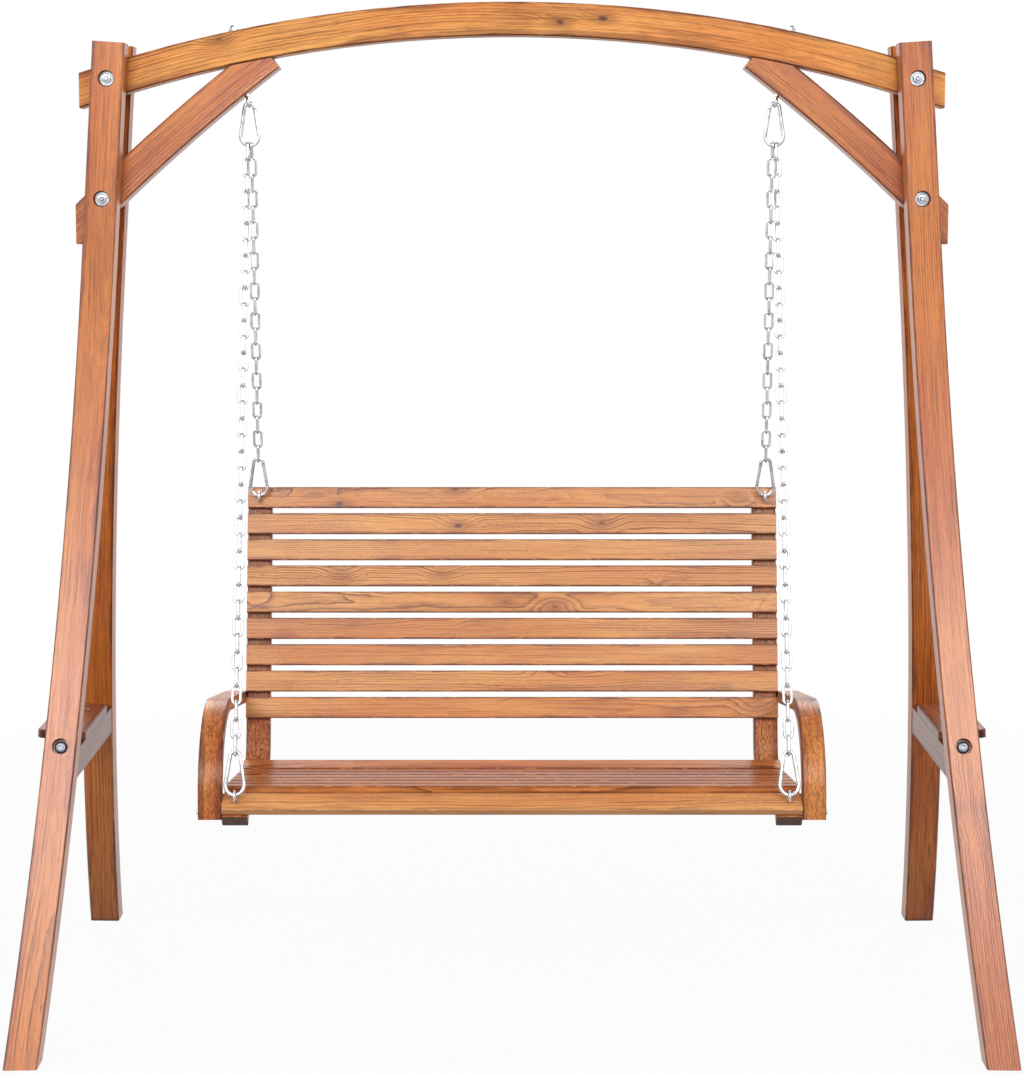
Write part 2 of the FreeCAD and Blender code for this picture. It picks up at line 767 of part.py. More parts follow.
def eye_bolt(label, shank):
    """Ring in its own YZ plane with a shank along its own Z; the ring's centre is the origin."""
    body = new_body(label)
    ring = add(body, "Torus", pointing(Vec(1, 0, 0), Vec()), Radius1="eye_inner_radius + eye_wire / 2",
               Radius2="eye_wire / 2")
    ring.Angle3 = 360
    add(body, "Cylinder", Place(Vec(0, 0, EYE_MEAN), Turn()), Radius="bolt_radius",
        Height="%s - eye_inner_radius - eye_wire / 2" % shank)
    return body


def top_eye_centre(side):
    return Vec(0, 0, BEAM_CENTRE) + eye_axis(side) * (brace_underside() - val("eye_stand_off"))


def top_hook_place(side):
    """The hook hangs on the lowest point of its eye; its own origin is its upper bend."""
    ring_low = top_eye_centre(side) - eye_axis(side) * EYE_MEAN
    lift = (val("eye_wire") + val("hook_wire")) / 2 + val("ring_fit")
    return Place(ring_low + Vec(0, 0, lift), Turn(Vec(0, 0, 1), 0 if side == LEFT else 180))


class Hook:
    """Sizes of the pear-shaped hook, shared by its body and its gate."""

    narrow = val("hook_narrow_radius")
    wide = val("hook_wide_radius")
    narrow_z = -val("hook_narrow_radius")
    wide_z = -HOOK_SPAN + val("hook_wide_radius")
    flare = math.asin((wide - narrow) / (narrow_z - wide_z))
    side_length = (narrow_z - wide_z) * math.cos(flare)

    @classmethod
    def side_point(cls, distance, side=1):
        """Point on the straight side, counted from the narrow bend; x, z."""
        x = cls.narrow * math.cos(cls.flare) + distance * math.sin(cls.flare)
        z = cls.narrow_z + cls.narrow * math.sin(cls.flare) - distance * math.cos(cls.flare)
        return side * x, z

    @classmethod
    def down(cls):
        return Vec(math.sin(cls.flare), 0, -math.cos(cls.flare))

    @classmethod
    def pivot(cls):
        x, z = cls.side_point(val("gate_pivot"))
        return Vec(x, 0, z)


def hook(label, place):
    """Bent wire, open on one side, with a flattened tongue and the pin that carries the gate."""
    body = new_body(label)
    narrow, wide = (0.0, Hook.narrow_z), (0.0, Hook.wide_z)
    tongue_end = val("gate_pivot") + val("gate_wire") / 2
    nose = Hook.side_length - val("gate_nose")
    spine = [
        line(Hook.side_point(tongue_end), Hook.side_point(0)),
        arc(Hook.side_point(0), Hook.side_point(0, -1), narrow, True, "hook_narrow_radius"),
        line(Hook.side_point(0, -1), Hook.side_point(Hook.side_length, -1)),
        arc(Hook.side_point(Hook.side_length, -1), Hook.side_point(Hook.side_length), wide, True,
            "hook_wide_radius"),
        line(Hook.side_point(Hook.side_length), Hook.side_point(nose)),
    ]
    path = draw(body, "XZ_Plane", spine, closed=False)
    section = draw_circle(body, "YZ_Plane", (0.0, 0.0), "hook_wire / 2")
    section.AttachmentSupport = []
    section.MapMode = "Deactivated"
    start = Hook.side_point(tongue_end)
    section.Placement = pointing(Hook.down(), Vec(start[0], 0, start[1]))
    pipe = doc.addObject("PartDesign::AdditivePipe", label + "_wire")
    body.addObject(pipe)
    pipe.Profile = section
    pipe.Spine = path
    doc.recompute()
    flat = val("tongue_thickness") / 2
    top = Hook.pivot() - Hook.down() * (val("gate_pivot") - val("gate_nose") / 2)
    for side in (1, -1):
        place_box = framed(top, Hook.down(), Vec(0, side, 0))
        shift = Place(Vec(flat, -val("hook_wire"), 0), Turn())
        cut(body, "Box", place_box.multiply(shift), Length="hook_wire", Width="hook_wire * 2",
            Height="gate_pivot + gate_wire")
    pin_start = Hook.pivot() - Vec(0, val("gate_wire") / 2, 0)
    add(body, "Cylinder", pointing(Vec(0, 1, 0), pin_start), Radius="gate_pin_radius", Height="gate_wire")
    body.Placement = place
    return body


def gate(label, place):
    """Round bar with a forked end that turns on the hook's pin."""
    body = new_body(label)
    start = val("gate_pivot") - val("gate_wire") * 0.42
    end = Hook.side_length - val("gate_nose") - val("nose_fit")
    top = Hook.pivot() + Hook.down() * (start - val("gate_pivot"))
    add(body, "Cylinder", pointing(Hook.down(), top), Radius="gate_wire / 2", Height="%f" % (end - start))
    slot = val("tongue_thickness") / 2 + val("fork_fit")
    frame = framed(top, Hook.down(), Vec(1, 0, 0))
    corner = frame.multiply(Place(Vec(-val("gate_wire"), -slot, -1), Turn()))
    cut(body, "Box", corner, Length="gate_wire * 2", Width="tongue_thickness + 2 * fork_fit",
        Height="gate_wire * 1.6 + 1")
    pin_start = Hook.pivot() - Vec(0, val("gate_wire"), 0)
    bore(body, pointing(Vec(0, 1, 0), pin_start), "gate_pin_radius + pin_fit", "gate_wire * 2")
    body.Placement = place
    return body


def chain_link(label, pitch):
    """Welded link in its own XZ plane, long along Z; pitch is its clear inner length."""
    body = new_body(label)
    round_radius = (val("chain_width") - val("chain_wire")) / 2
    half = pitch / 2 + val("chain_wire") / 2 - round_radius
    bend = "(chain_width - chain_wire) / 2"
    spine = [
        line((round_radius, -half), (round_radius, half)),
        arc((round_radius, half), (-round_radius, half), (0.0, half), True, bend),
        line((-round_radius, half), (-round_radius, -half)),
        arc((-round_radius, -half), (round_radius, -half), (0.0, -half), True, bend),
    ]
    path = draw(body, "XZ_Plane", spine)
    section = draw_circle(body, "XY_Plane", (round_radius, 0.0), "chain_wire / 2")
    pipe = doc.addObject("PartDesign::AdditivePipe", label + "_wire")
    body.addObject(pipe)
    pipe.Profile = section
    pipe.Spine = path
    return body


class Hanger:
    """Chain line from a top hook to one eye of the bench, with the hook at its lower end."""

    def __init__(self, side, row, eye):
        self.side, self.row = side, row
        top = top_hook_place(side).Base
        aside = -side * row * val("chain_apart")
        sag = val("hook_wide_radius") - math.sqrt(val("hook_wide_radius") ** 2 - aside ** 2)
        self.top = top + Vec(aside, 0, -HOOK_SPAN + sag)
        self.up = (self.top - eye).normalize()
        self.low = eye + self.up * HOOK_REST
        self.links = int(val("front_links") if row == FRONT else val("rear_links"))

    def frame(self, origin, turn=0.0):
        place = framed(origin, self.up, Vec(1, 0, 0))
        return place.multiply(Place(Vec(), Turn(Vec(0, 0, 1), turn)))

    @property
    def hook_place(self):
        return self.frame(self.low + self.up * HOOK_SPAN, 0.0 if self.side == LEFT else 180.0)

    @property
    def pitch(self):
        span = (self.top - self.low).Length - HOOK_SPAN + val("hook_wire")
        return (span + 2 * val("hook_fit") + (self.links - 1) * val("link_fit")) / self.links

    def link_places(self):
        first = self.pitch / 2 - val("hook_wire") / 2 - val("hook_fit")
        step = self.pitch - val("link_fit")
        places = []
        for number in range(self.links):
            centre = self.top - self.up * (first + number * step)
            places.append(self.frame(centre, 90.0 if number % 2 == 0 else 0.0))
        return places


# Bench


def frame_run():
    """Upper face of a bent frame seen from the side, from the front end to the top of the back.

    The front slat laps over the start of the first bend, so that no gap shows behind it.
    """
    run = Run(val("front_end_y"), val("front_end_z"), val("front_slope"))
    slat, margin = val("slat_width"), val("slat_margin")
    run.straight(val("front_margin") + slat - val("front_slat_lap"))
    run.bend("front_bend", -val("front_slope") - val("seat_slope"))
    count = int(val("flat_slats"))
    run.straight(count * slat + (count - 1) * val("seat_gap") + 2 * margin)
    run.bend("seat_bend", val("seat_slope") + val("seat_rise"))
    run.straight(slat + 2 * margin)
    run.bend("rear_bend", 90 - val("back_lean") - val("seat_rise"))
    count = int(val("back_slats"))
    run.straight(val("back_clear") + count * slat + (count - 1) * val("back_gap") - val("back_end_inset"))
    return run


FRAME_RUN = frame_run()
FRAME_CENTRE = val("frame_outer") - val("strip_width") / 2


def slat_distances():
    """Distance of each slat's middle along the frame: seat from the front, then back from below."""
    lengths = [stretch["length"] for stretch in FRAME_RUN.stretches]
    half, margin = val("slat_width") / 2, val("slat_margin")
    seat = [val("front_margin") + half]
    start = lengths[0] + lengths[1] + margin + half
    seat += [start + n * (val("slat_width") + val("seat_gap")) for n in range(int(val("flat_slats")))]
    seat.append(sum(lengths[:4]) + margin + half)
    start = sum(lengths[:6]) + val("back_clear") + half
    back = [start + n * (val("slat_width") + val("back_gap")) for n in range(int(val("back_slats")))]
    return seat, back


def slat_place(distance):
    """Frame on the bent frames' face: X along the slat, Y up the slope, Z away from the frame."""
    y, z, heading = FRAME_RUN.at(distance)
    return Place(Vec(0, y, z), Turn(Vec(1, 0, 0), math.degrees(heading)))


SEAT_SPOTS, BACK_SPOTS = slat_distances()
EYE_SPOTS = {FRONT: SEAT_SPOTS[0], REAR: BACK_SPOTS[-1]}
SCREW_SPOTS = SEAT_SPOTS[1:] + BACK_SPOTS[:-1]


def bench_eye_place(side, row):
    """Frame of a bench eye bolt: the ring's centre, with the shank running into the wood."""
    frame = slat_place(EYE_SPOTS[row])
    height = val("slat_thickness") + val("eye_stand_off")
    turn = Turn(Vec(1, 0, 0), 180)
    return frame.multiply(Place(Vec(side * FRAME_CENTRE, 0, height), turn))


def arm_run():
    """Outer face of an arm seen from the side, from its lower front end to its rear end."""
    run = Run(val("front_end_y") + val("arm_set_back"), val("front_end_z") - val("arm_foot_drop"), 90)
    run.straight(val("arm_drop"))
    run.bend("arm_bend", -90 - val("arm_slope"))
    run.straight(val("arm_straight"))
    return run


def arm_screw_spots():
    """Wood that arm and bent frame share, at the rear and at the front; y, z."""
    def inside(run, distance, share):
        y, z, heading = run.at(distance)
        deep = val("strip_thickness") * share
        return y + deep * math.sin(heading), z - deep * math.cos(heading)
    rear_run = arm_run()
    rear = inside(rear_run, rear_run.length - val("strip_thickness") * 0.55, 0.5)
    front = inside(FRAME_RUN, val("front_margin") + val("slat_width") / 3, 0.3)
    return [rear, front]


def bent_frame(label, side):
    """Back upright and seat rail of one side, bent from one strip."""
    body = new_body(label)
    pad(body, draw(body, "YZ_Plane", FRAME_RUN.strip("strip_thickness")), "strip_width")
    half = val("strip_width") / 2
    deep = val("strip_thickness")
    round_edges(body, "strip_edge_round",
                lambda edge: on_cheek(edge, half) and abs(edge.Length - deep) > 0.01)
    for row, spot in EYE_SPOTS.items():
        frame = slat_place(spot)
        bore(body, frame.multiply(pointing(Vec(0, 0, -1), Vec(0, 0, 1))), "bolt_hole_radius",
             "strip_thickness + 2")
    for spot in SCREW_SPOTS:
        frame = slat_place(spot)
        bore(body, frame.multiply(pointing(Vec(0, 0, -1), Vec(0, 0, 1))), "screw_radius + hole_fit",
             "strip_thickness + 2")
    for y, z in arm_screw_spots():
        outside = Vec(side * (half + 1), y, z)
        bore(body, pointing(Vec(-side, 0, 0), outside), "arm_screw_radius + hole_fit",
             "arm_screw_bite + 2 * hole_fit + 1")
    body.Placement = Place(Vec(side * FRAME_CENTRE, 0, 0), Turn())


def slat(label, distance):
    """Bar across both frames, with holes from behind for its screws or right through for its eyes."""
    body = new_body(label)
    half = val("frame_outer") - val("end_fit")
    corner = Vec(-half, -val("slat_width") / 2, 0)
    add(body, "Box", Place(corner, Turn()), Length="2 * (frame_outer - end_fit)", Width="slat_width",
        Height="slat_thickness")
    round_edges(body, "slat_edge_round", lambda edge: edge.Length > val("slat_width") * 2)
    for side in SIDES.values():
        start = Vec(side * FRAME_CENTRE, 0, -1)
        if distance in EYE_SPOTS.values():
            bore(body, Place(start, Turn()), "bolt_hole_radius", "slat_thickness + 2")
        else:
            bore(body, Place(start, Turn()), "screw_radius + hole_fit", "screw_bite + 2 * hole_fit + 1")
    body.Placement = slat_place(distance)


def arm(label, side):
    """Bent strip that runs forward from the upright and turns down beside the seat's front."""
    body = new_body(label)
    pad(body, draw(body, "YZ_Plane", arm_run().strip("strip_thickness")), "arm_width")
    half = val("arm_width") / 2
    deep = val("strip_thickness")
    round_edges(body, "strip_edge_round",
                lambda edge: on_cheek(edge, half) and abs(edge.Length - deep) > 0.01)
    for y, z in arm_screw_spots():
        bore(body, pointing(Vec(1, 0, 0), Vec(-half - 1, y, z)), "arm_screw_radius + hole_fit",
             "arm_width + 2")
    body.Placement = Place(Vec(side * (val("frame_outer") + half), 0, 0), Turn())


def bench_hardware():
    back = val("strip_thickness")
    eyes, washers, nuts, screws, arm_screws = [], [], [], [], []
    for side in SIDES.values():
        for row, spot in EYE_SPOTS.items():
            eyes.append(bench_eye_place(side, row))
            behind = slat_place(spot).multiply(pointing(Vec(0, 0, -1), Vec(side * FRAME_CENTRE, 0, -back)))
            washers.append(behind)
            nuts.append(behind.multiply(Place(Vec(0, 0, val("washer_thickness")), Turn())))
        for spot in SCREW_SPOTS:
            screws.append(slat_place(spot).multiply(Place(Vec(side * FRAME_CENTRE, 0, -back), Turn())))
        outside = side * (val("frame_outer") + val("arm_width"))
        for y, z in arm_screw_spots():
            arm_screws.append(pointing(Vec(-side, 0, 0), Vec(outside, y, z)))
    shank = "eye_stand_off + slat_thickness + strip_thickness + washer_thickness + nut_height + bolt_end"
    group("bench_eye_bolts", eye_bolt("bench_eye_bolt", shank), eyes)
    group("bench_washers", washer("bench_washer"), washers)
    group("bench_nuts", nut("bench_nut"), nuts)
    group("slat_screws", screw("slat_screw", "strip_thickness + screw_bite"), screws)
    group("arm_screws", screw("arm_screw", "arm_width + arm_screw_bite", "arm_screw"), arm_screws)


def build():
    for row_name, row in ROWS.items():
        for side_name, side in SIDES.items():
            leg("leg_%s_%s" % (row_name, side_name), side, row)
    arch_beam()
    for name, side in SIDES.items():
        brace("brace_" + name, side)
        spreader_rail("spreader_rail_" + name, side)
        spreader_board("spreader_board_" + name, side)
        bent_frame("bent_frame_" + name, side)
        arm("arm_" + name, side)
    stand_hardware()
    shank = "eye_stand_off + (%f) + washer_thickness + nut_height + bolt_end"
    through = val("beam_radius") - brace_underside()
    eyes = [framed(top_eye_centre(side), eye_axis(side), Vec(1, 0, 0)) for side in SIDES.values()]
    group("top_eye_bolts", eye_bolt("top_eye_bolt", shank % through), eyes)
    for number, spot in enumerate(SEAT_SPOTS, start=1):
        slat("seat_slat_%d" % number, spot)
    for number, spot in enumerate(BACK_SPOTS, start=1):
        slat("back_slat_%d" % number, spot)
    bench_hardware()
    for side_name, side in SIDES.items():
        hook("hook_top_" + side_name, top_hook_place(side))
        gate("gate_top_" + side_name, top_hook_place(side))
        for row_name, row in ROWS.items():
            name = "%s_%s" % (row_name, side_name)
            hanger = Hanger(side, row, bench_eye_place(side, row).Base)
            hook("hook_" + name, hanger.hook_place)
            gate("gate_" + name, hanger.hook_place)
            group("chain_" + name, chain_link("link_" + name, hanger.pitch), hanger.link_places())
    doc.recompute()


PATTERNS = ("through_bolt", "stand_washer", "stand_nut", "socket_bolt", "barrel_nut", "board_screw",
            "top_eye_bolt", "bench_eye_bolt", "bench_washer", "bench_nut", "slat_screw", "arm_screw")


def is_node(item):
    """A body or group of its own, and not the drawn piece that a group repeats."""
    if item.TypeId == "Part::Compound":
        return True
    repeated = item.Label in PATTERNS or item.Label.startswith("link_")
    return item.TypeId == "PartDesign::Body" and not repeated


def write_parts():
    for item in doc.Objects:
        if "Invalid" in item.State or "Error" in item.State:
            raise RuntimeError("%s: %s" % (item.Label, item.State))
    os.makedirs("parts", exist_ok=True)
    for item in filter(is_node, doc.Objects):
        shape = item.Shape
        if shape.isNull() or not shape.isValid() or not shape.Solids:
            raise RuntimeError(item.Label + " has no valid solid")
        shape.exportStep("parts/%s.step" % item.Label)


build()
write_parts()
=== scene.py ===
"""Looks of a wooden swing bench: stained timber, bright chains, and a plain studio round it."""

import logging
import math
from dataclasses import dataclass, field, replace
from enum import Enum, IntEnum
from itertools import product
from typing import Optional, Sequence, Union

import bpy
from mathutils import Matrix, Quaternion, Vector


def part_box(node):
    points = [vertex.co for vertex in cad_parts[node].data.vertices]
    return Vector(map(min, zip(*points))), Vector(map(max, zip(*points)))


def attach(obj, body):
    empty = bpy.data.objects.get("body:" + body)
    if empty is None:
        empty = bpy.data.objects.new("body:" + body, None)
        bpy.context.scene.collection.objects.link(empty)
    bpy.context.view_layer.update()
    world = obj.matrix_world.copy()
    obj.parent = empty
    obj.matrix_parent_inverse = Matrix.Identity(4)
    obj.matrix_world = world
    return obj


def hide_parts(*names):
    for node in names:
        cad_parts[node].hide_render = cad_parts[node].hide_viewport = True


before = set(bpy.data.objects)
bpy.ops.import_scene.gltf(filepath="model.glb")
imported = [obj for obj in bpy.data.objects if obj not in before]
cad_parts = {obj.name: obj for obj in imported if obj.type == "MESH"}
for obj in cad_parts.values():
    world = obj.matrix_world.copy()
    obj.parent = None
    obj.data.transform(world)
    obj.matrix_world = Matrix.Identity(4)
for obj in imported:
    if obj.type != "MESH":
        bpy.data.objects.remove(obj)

LOG = logging.getLogger("swing_bench")
Socket = bpy.types.NodeSocket
Value = Union[float, Socket]
Tone = tuple[float, float, float, float]
Colour = Union[Tone, Socket]
Pair = tuple[float, float]
Place = tuple[float, float, float]

WHITE: Tone = (1.0, 1.0, 1.0, 1.0)
NOISE_MIDDLE = 0.5
X_AXIS, Y_AXIS, Z_AXIS = Vector((1, 0, 0)), Vector((0, 1, 0)), Vector((0, 0, 1))


class Sense(Enum):
    """A choice between the two senses of an axis."""

    @property
    def word(self) -> str:
        """The choice as node names spell it."""
        return self.name.lower()


class Side(Sense):
    """The two sides of the bench, as seen from the front."""

    LEFT = -1
    RIGHT = 1


class Row(Sense):
    """Front and rear of the stand."""

    FRONT = -1
    REAR = 1


class FirstBoard(IntEnum):
    """Number of the first board of each kind; a board's number makes its grain its own."""

    LEG = 1
    BEAM = 9
    BRACE = 11
    RAIL = 21
    BOARD = 24
    SLAT = 41
    FRAME = 81
    ARM = 91


class Facets(IntEnum):
    """Flats round a turned piece."""

    SHANK = 24
    BORE = 32
    HEAD = 40
    RIM = 48


class Blend(Enum):
    """Kinds of values that a Mix node takes, with its places of both inputs and of the result."""

    FLOAT = (2, 3, 0)
    RGBA = (6, 7, 2)


class Cut(Enum):
    """Ways to shape one piece with another."""

    TRIM = "INTERSECT"
    HOLLOW = "DIFFERENCE"
    WELD = "UNION"


def tone(red: float, green: float, blue: float) -> Tone:
    """Turn a display colour into the linear values that a shader takes.

    Args:
        red: Red, 0 to 255.
        green: Green, 0 to 255.
        blue: Blue, 0 to 255.

    Returns:
        Linear red, green, blue and a full alpha.
    """
    def linear(level: float) -> float:
        """Undo the display curve for one channel."""
        share = level / 255.0
        return share / 12.92 if share <= 0.04045 else ((share + 0.055) / 1.055) ** 2.4

    return linear(red), linear(green), linear(blue), 1.0


class Graph:
    """Node tree of one material or world, written as plain calls that return sockets."""

    sky_samples: int = 6

    def __init__(self, owner: Union[bpy.types.Material, bpy.types.World]) -> None:
        """Empty the tree of a material or world.

        Args:
            owner: The material or world that the nodes are for.
        """
        owner.use_nodes = True
        self.owner = owner
        self.tree = owner.node_tree
        self.tree.nodes.clear()

    @classmethod
    def of_material(cls, name: str) -> "Graph":
        """Start an empty material."""
        return cls(bpy.data.materials.new(name))

    def node(self, kind: str, **settings: object) -> bpy.types.Node:
        """Add a node and set its properties.

        Args:
            kind: The node's type without the leading ShaderNode.
            settings: Properties by name.

        Returns:
            The new node.
        """
        made = self.tree.nodes.new("ShaderNode" + kind)
        for key, value in settings.items():
            setattr(made, key, value)
        return made

    def feed(self, socket: Socket, value: object) -> None:
        """Link a socket into an input, or set the input's own value.

        Args:
            socket: The input.
            value: A socket to link, or a plain value.
        """
        if isinstance(value, bpy.types.NodeSocket):
            self.tree.links.new(value, socket)
        else:
            socket.default_value = value

    def math(self, operation: str, first: Value, second: Value = 0.0) -> Socket:
        """Take one arithmetic step on numbers.

        Args:
            operation: Blender's name of the step.
            first: First number.
            second: Second number, where the step takes one.

        Returns:
            The result.
        """
        made = self.node("Math", operation=operation)
        self.feed(made.inputs[0], first)
        self.feed(made.inputs[1], second)
        return made.outputs[0]

    def add(self, first: Value, second: Value) -> Socket:
        """Sum of two numbers."""
        return self.math("ADD", first, second)

    def less(self, first: Value, second: Value) -> Socket:
        """Difference of two numbers."""
        return self.math("SUBTRACT", first, second)

    def times(self, first: Value, second: Value) -> Socket:
        """Product of two numbers."""
        return self.math("MULTIPLY", first, second)

    def reach(self, x: Socket, y: Socket) -> Socket:
        """Length of the slant across two distances square to each other."""
        return self.math("SQRT", self.add(self.times(x, x), self.times(y, y)))

    def vector_math(self, operation: str, first: Socket, second: object = (0.0, 0.0, 0.0)) -> Socket:
        """Take one step on vectors.

        Args:
            operation: Blender's name of the step.
            first: First vector.
            second: Second vector, where the step takes one.

        Returns:
            The resulting number for a dot product or a length, and else the resulting vector.
        """
        made = self.node("VectorMath", operation=operation)
        self.feed(made.inputs[0], first)
        self.feed(made.inputs[1], second)
        return made.outputs["Value" if operation in ("DOT_PRODUCT", "LENGTH") else "Vector"]

    def dot(self, vector: Socket, direction: Sequence[float]) -> Socket:
        """Length of a vector along a fixed direction."""
        return self.vector_math("DOT_PRODUCT", vector, tuple(direction))

    def vector(self, x: Value, y: Value, z: Value) -> Socket:
        """Join three numbers to a vector.

        Args:
            x: First number.
            y: Second number.
            z: Third number.

        Returns:
            The vector.
        """
        made = self.node("CombineXYZ")
        for socket, value in zip(made.inputs, (x, y, z)):
            self.feed(socket, value)
        return made.outputs[0]

    def fade(self, value: Value, low: float, high: float, start: float = 0.0, end: float = 1.0) -> Socket:
        """Step smoothly from one level to another while a value goes from one limit to the other.

        Args:
            value: The value.
            low: Limit where the step starts, which may be the higher one.
            high: Limit where the step ends.
            start: Level at the first limit.
            end: Level at the second limit.

        Returns:
            The level.
        """
        made = self.node("MapRange", interpolation_type="SMOOTHSTEP")
        limits = {"Value": value, "From Min": low, "From Max": high, "To Min": start, "To Max": end}
        for name, limit in limits.items():
            self.feed(made.inputs[name], limit)
        return made.outputs["Result"]

    def mix(self, kind: Blend, share: Value, first: object, second: object) -> Socket:
        """Mix two values of one kind.

        Args:
            kind: The kind of values.
            share: Share of the second value.
            first: First value.
            second: Second value.

        Returns:
            The mixed value.
        """
        made = self.node("Mix", data_type=kind.name)
        first_place, second_place, result = kind.value
        for place, value in ((0, share), (first_place, first), (second_place, second)):
            self.feed(made.inputs[place], value)
        return made.outputs[result]

    def choose(self, test: Value, off: Value, on: Value) -> Socket:
        """One of two numbers, picked by a test of 0 or 1."""
        return self.mix(Blend.FLOAT, test, off, on)

    def blend(self, share: Value, first: Colour, second: Colour) -> Socket:
        """Mix of two colours, by the share of the second."""
        return self.mix(Blend.RGBA, share, first, second)

    def noise(self, vector: Socket, scale: float = 1.0, detail: float = 2.0, rough: float = 0.5) -> Socket:
        """Make a soft noise.

        Args:
            vector: The place that it is read at.
            scale: Waves to the unit of that place.
            detail: Layers of finer waves.
            rough: Strength of each finer layer against the one before.

        Returns:
            The noise, from 0 to 1.
        """
        made = self.node("TexNoise", noise_dimensions="3D")
        settings = {"Vector": vector, "Scale": scale, "Detail": detail, "Roughness": rough}
        for name, value in settings.items():
            self.feed(made.inputs[name], value)
        return made.outputs["Fac"]

    def ramp(self, value: Socket, stops: Sequence[Pair]) -> Socket:
        """Draw a grey curve.

        Args:
            value: Place along the curve, 0 to 1.
            stops: Place and level of each point of the curve.

        Returns:
            The level.
        """
        made = self.node("ValToRGB")
        band = made.color_ramp.elements
        while len(band) < len(stops):
            band.new(0.5)
        for element, (place, level) in zip(band, stops):
            element.position = place
            element.color = (level, level, level, 1.0)
        self.feed(made.inputs[0], value)
        return made.outputs["Color"]

    def place(self) -> Socket:
        """Point on the surface in the object's own frame."""
        return self.node("TexCoord").outputs["Object"]

    def facing(self) -> Socket:
        """Direction of the surface in the object's own frame."""
        return self.node("TexCoord").outputs["Normal"]

    def openness(self, distance: float) -> Socket:
        """Find how open the surroundings of a point are.

        Args:
            distance: How far other surfaces count, in metres.

        Returns:
            The open share, 0 in a closed corner and 1 on a free face.
        """
        sky = self.node("AmbientOcclusion", samples=self.sky_samples)
        sky.inputs["Distance"].default_value = distance
        return sky.outputs["AO"]

    def bump(self, height: Socket, strength: float, depth: float) -> Socket:
        """Tilt the surface by a relief.

        Args:
            height: Height of the relief, about 0 to 1.
            strength: Strength of the tilt.
            depth: Depth of the relief in metres.

        Returns:
            The tilted direction.
        """
        made = self.node("Bump")
        made.inputs["Strength"].default_value = strength
        made.inputs["Distance"].default_value = depth
        self.feed(made.inputs["Height"], height)
        return made.outputs["Normal"]

    def seen(self) -> Socket:
        """Find the rays that show the background.

        Returns:
            1 for rays from the camera, off gloss and through glass, and else 0.
        """
        rays = self.node("LightPath")
        seen = rays.outputs["Is Camera Ray"]
        for kind in ("Is Glossy Ray", "Is Transmission Ray"):
            seen = self.math("MAXIMUM", seen, rays.outputs[kind])
        return seen

    def mix_shader(self, share: Socket, first: Socket, second: Socket) -> Socket:
        """Mix two shaders.

        Args:
            share: Share of the second shader.
            first: First shader.
            second: Second shader.

        Returns:
            The mixed shader.
        """
        made = self.node("MixShader")
        for socket, value in zip(made.inputs, (share, first, second)):
            self.feed(socket, value)
        return made.outputs[0]

    def surface(self, colour: Socket, roughness: Socket, normal: Socket,
                levels: dict[str, float]) -> bpy.types.Material:
        """Close the tree with a surface.

        Args:
            colour: Its colour.
            roughness: Its roughness.
            normal: Its direction after the relief.
            levels: Inputs of the shader that are the same all over, by name.

        Returns:
            The finished material.
        """
        shader = self.node("BsdfPrincipled")
        inputs = {"Base Color": colour, "Roughness": roughness, "Normal": normal, **levels}
        for name, value in inputs.items():
            self.feed(shader.inputs[name], value)
        return self.finish(shader.outputs["BSDF"])

    def finish(self, shader: Socket) -> Union[bpy.types.Material, bpy.types.World]:
        """Close the tree with its output.

        Args:
            shader: What the surface or the surroundings look like.

        Returns:
            The finished material or world.
        """
        kind = "OutputMaterial" if isinstance(self.owner, bpy.types.Material) else "OutputWorld"
        self.tree.links.new(shader, self.node(kind).inputs["Surface"])
        return self.owner


@dataclass(frozen=True)
class Stretch:
    """Straight or bent stretch of a fibre line in its plane."""

    start: Pair
    heading: float
    run: float
    before: float
    radius: float = 0.0
    turn: int = 0


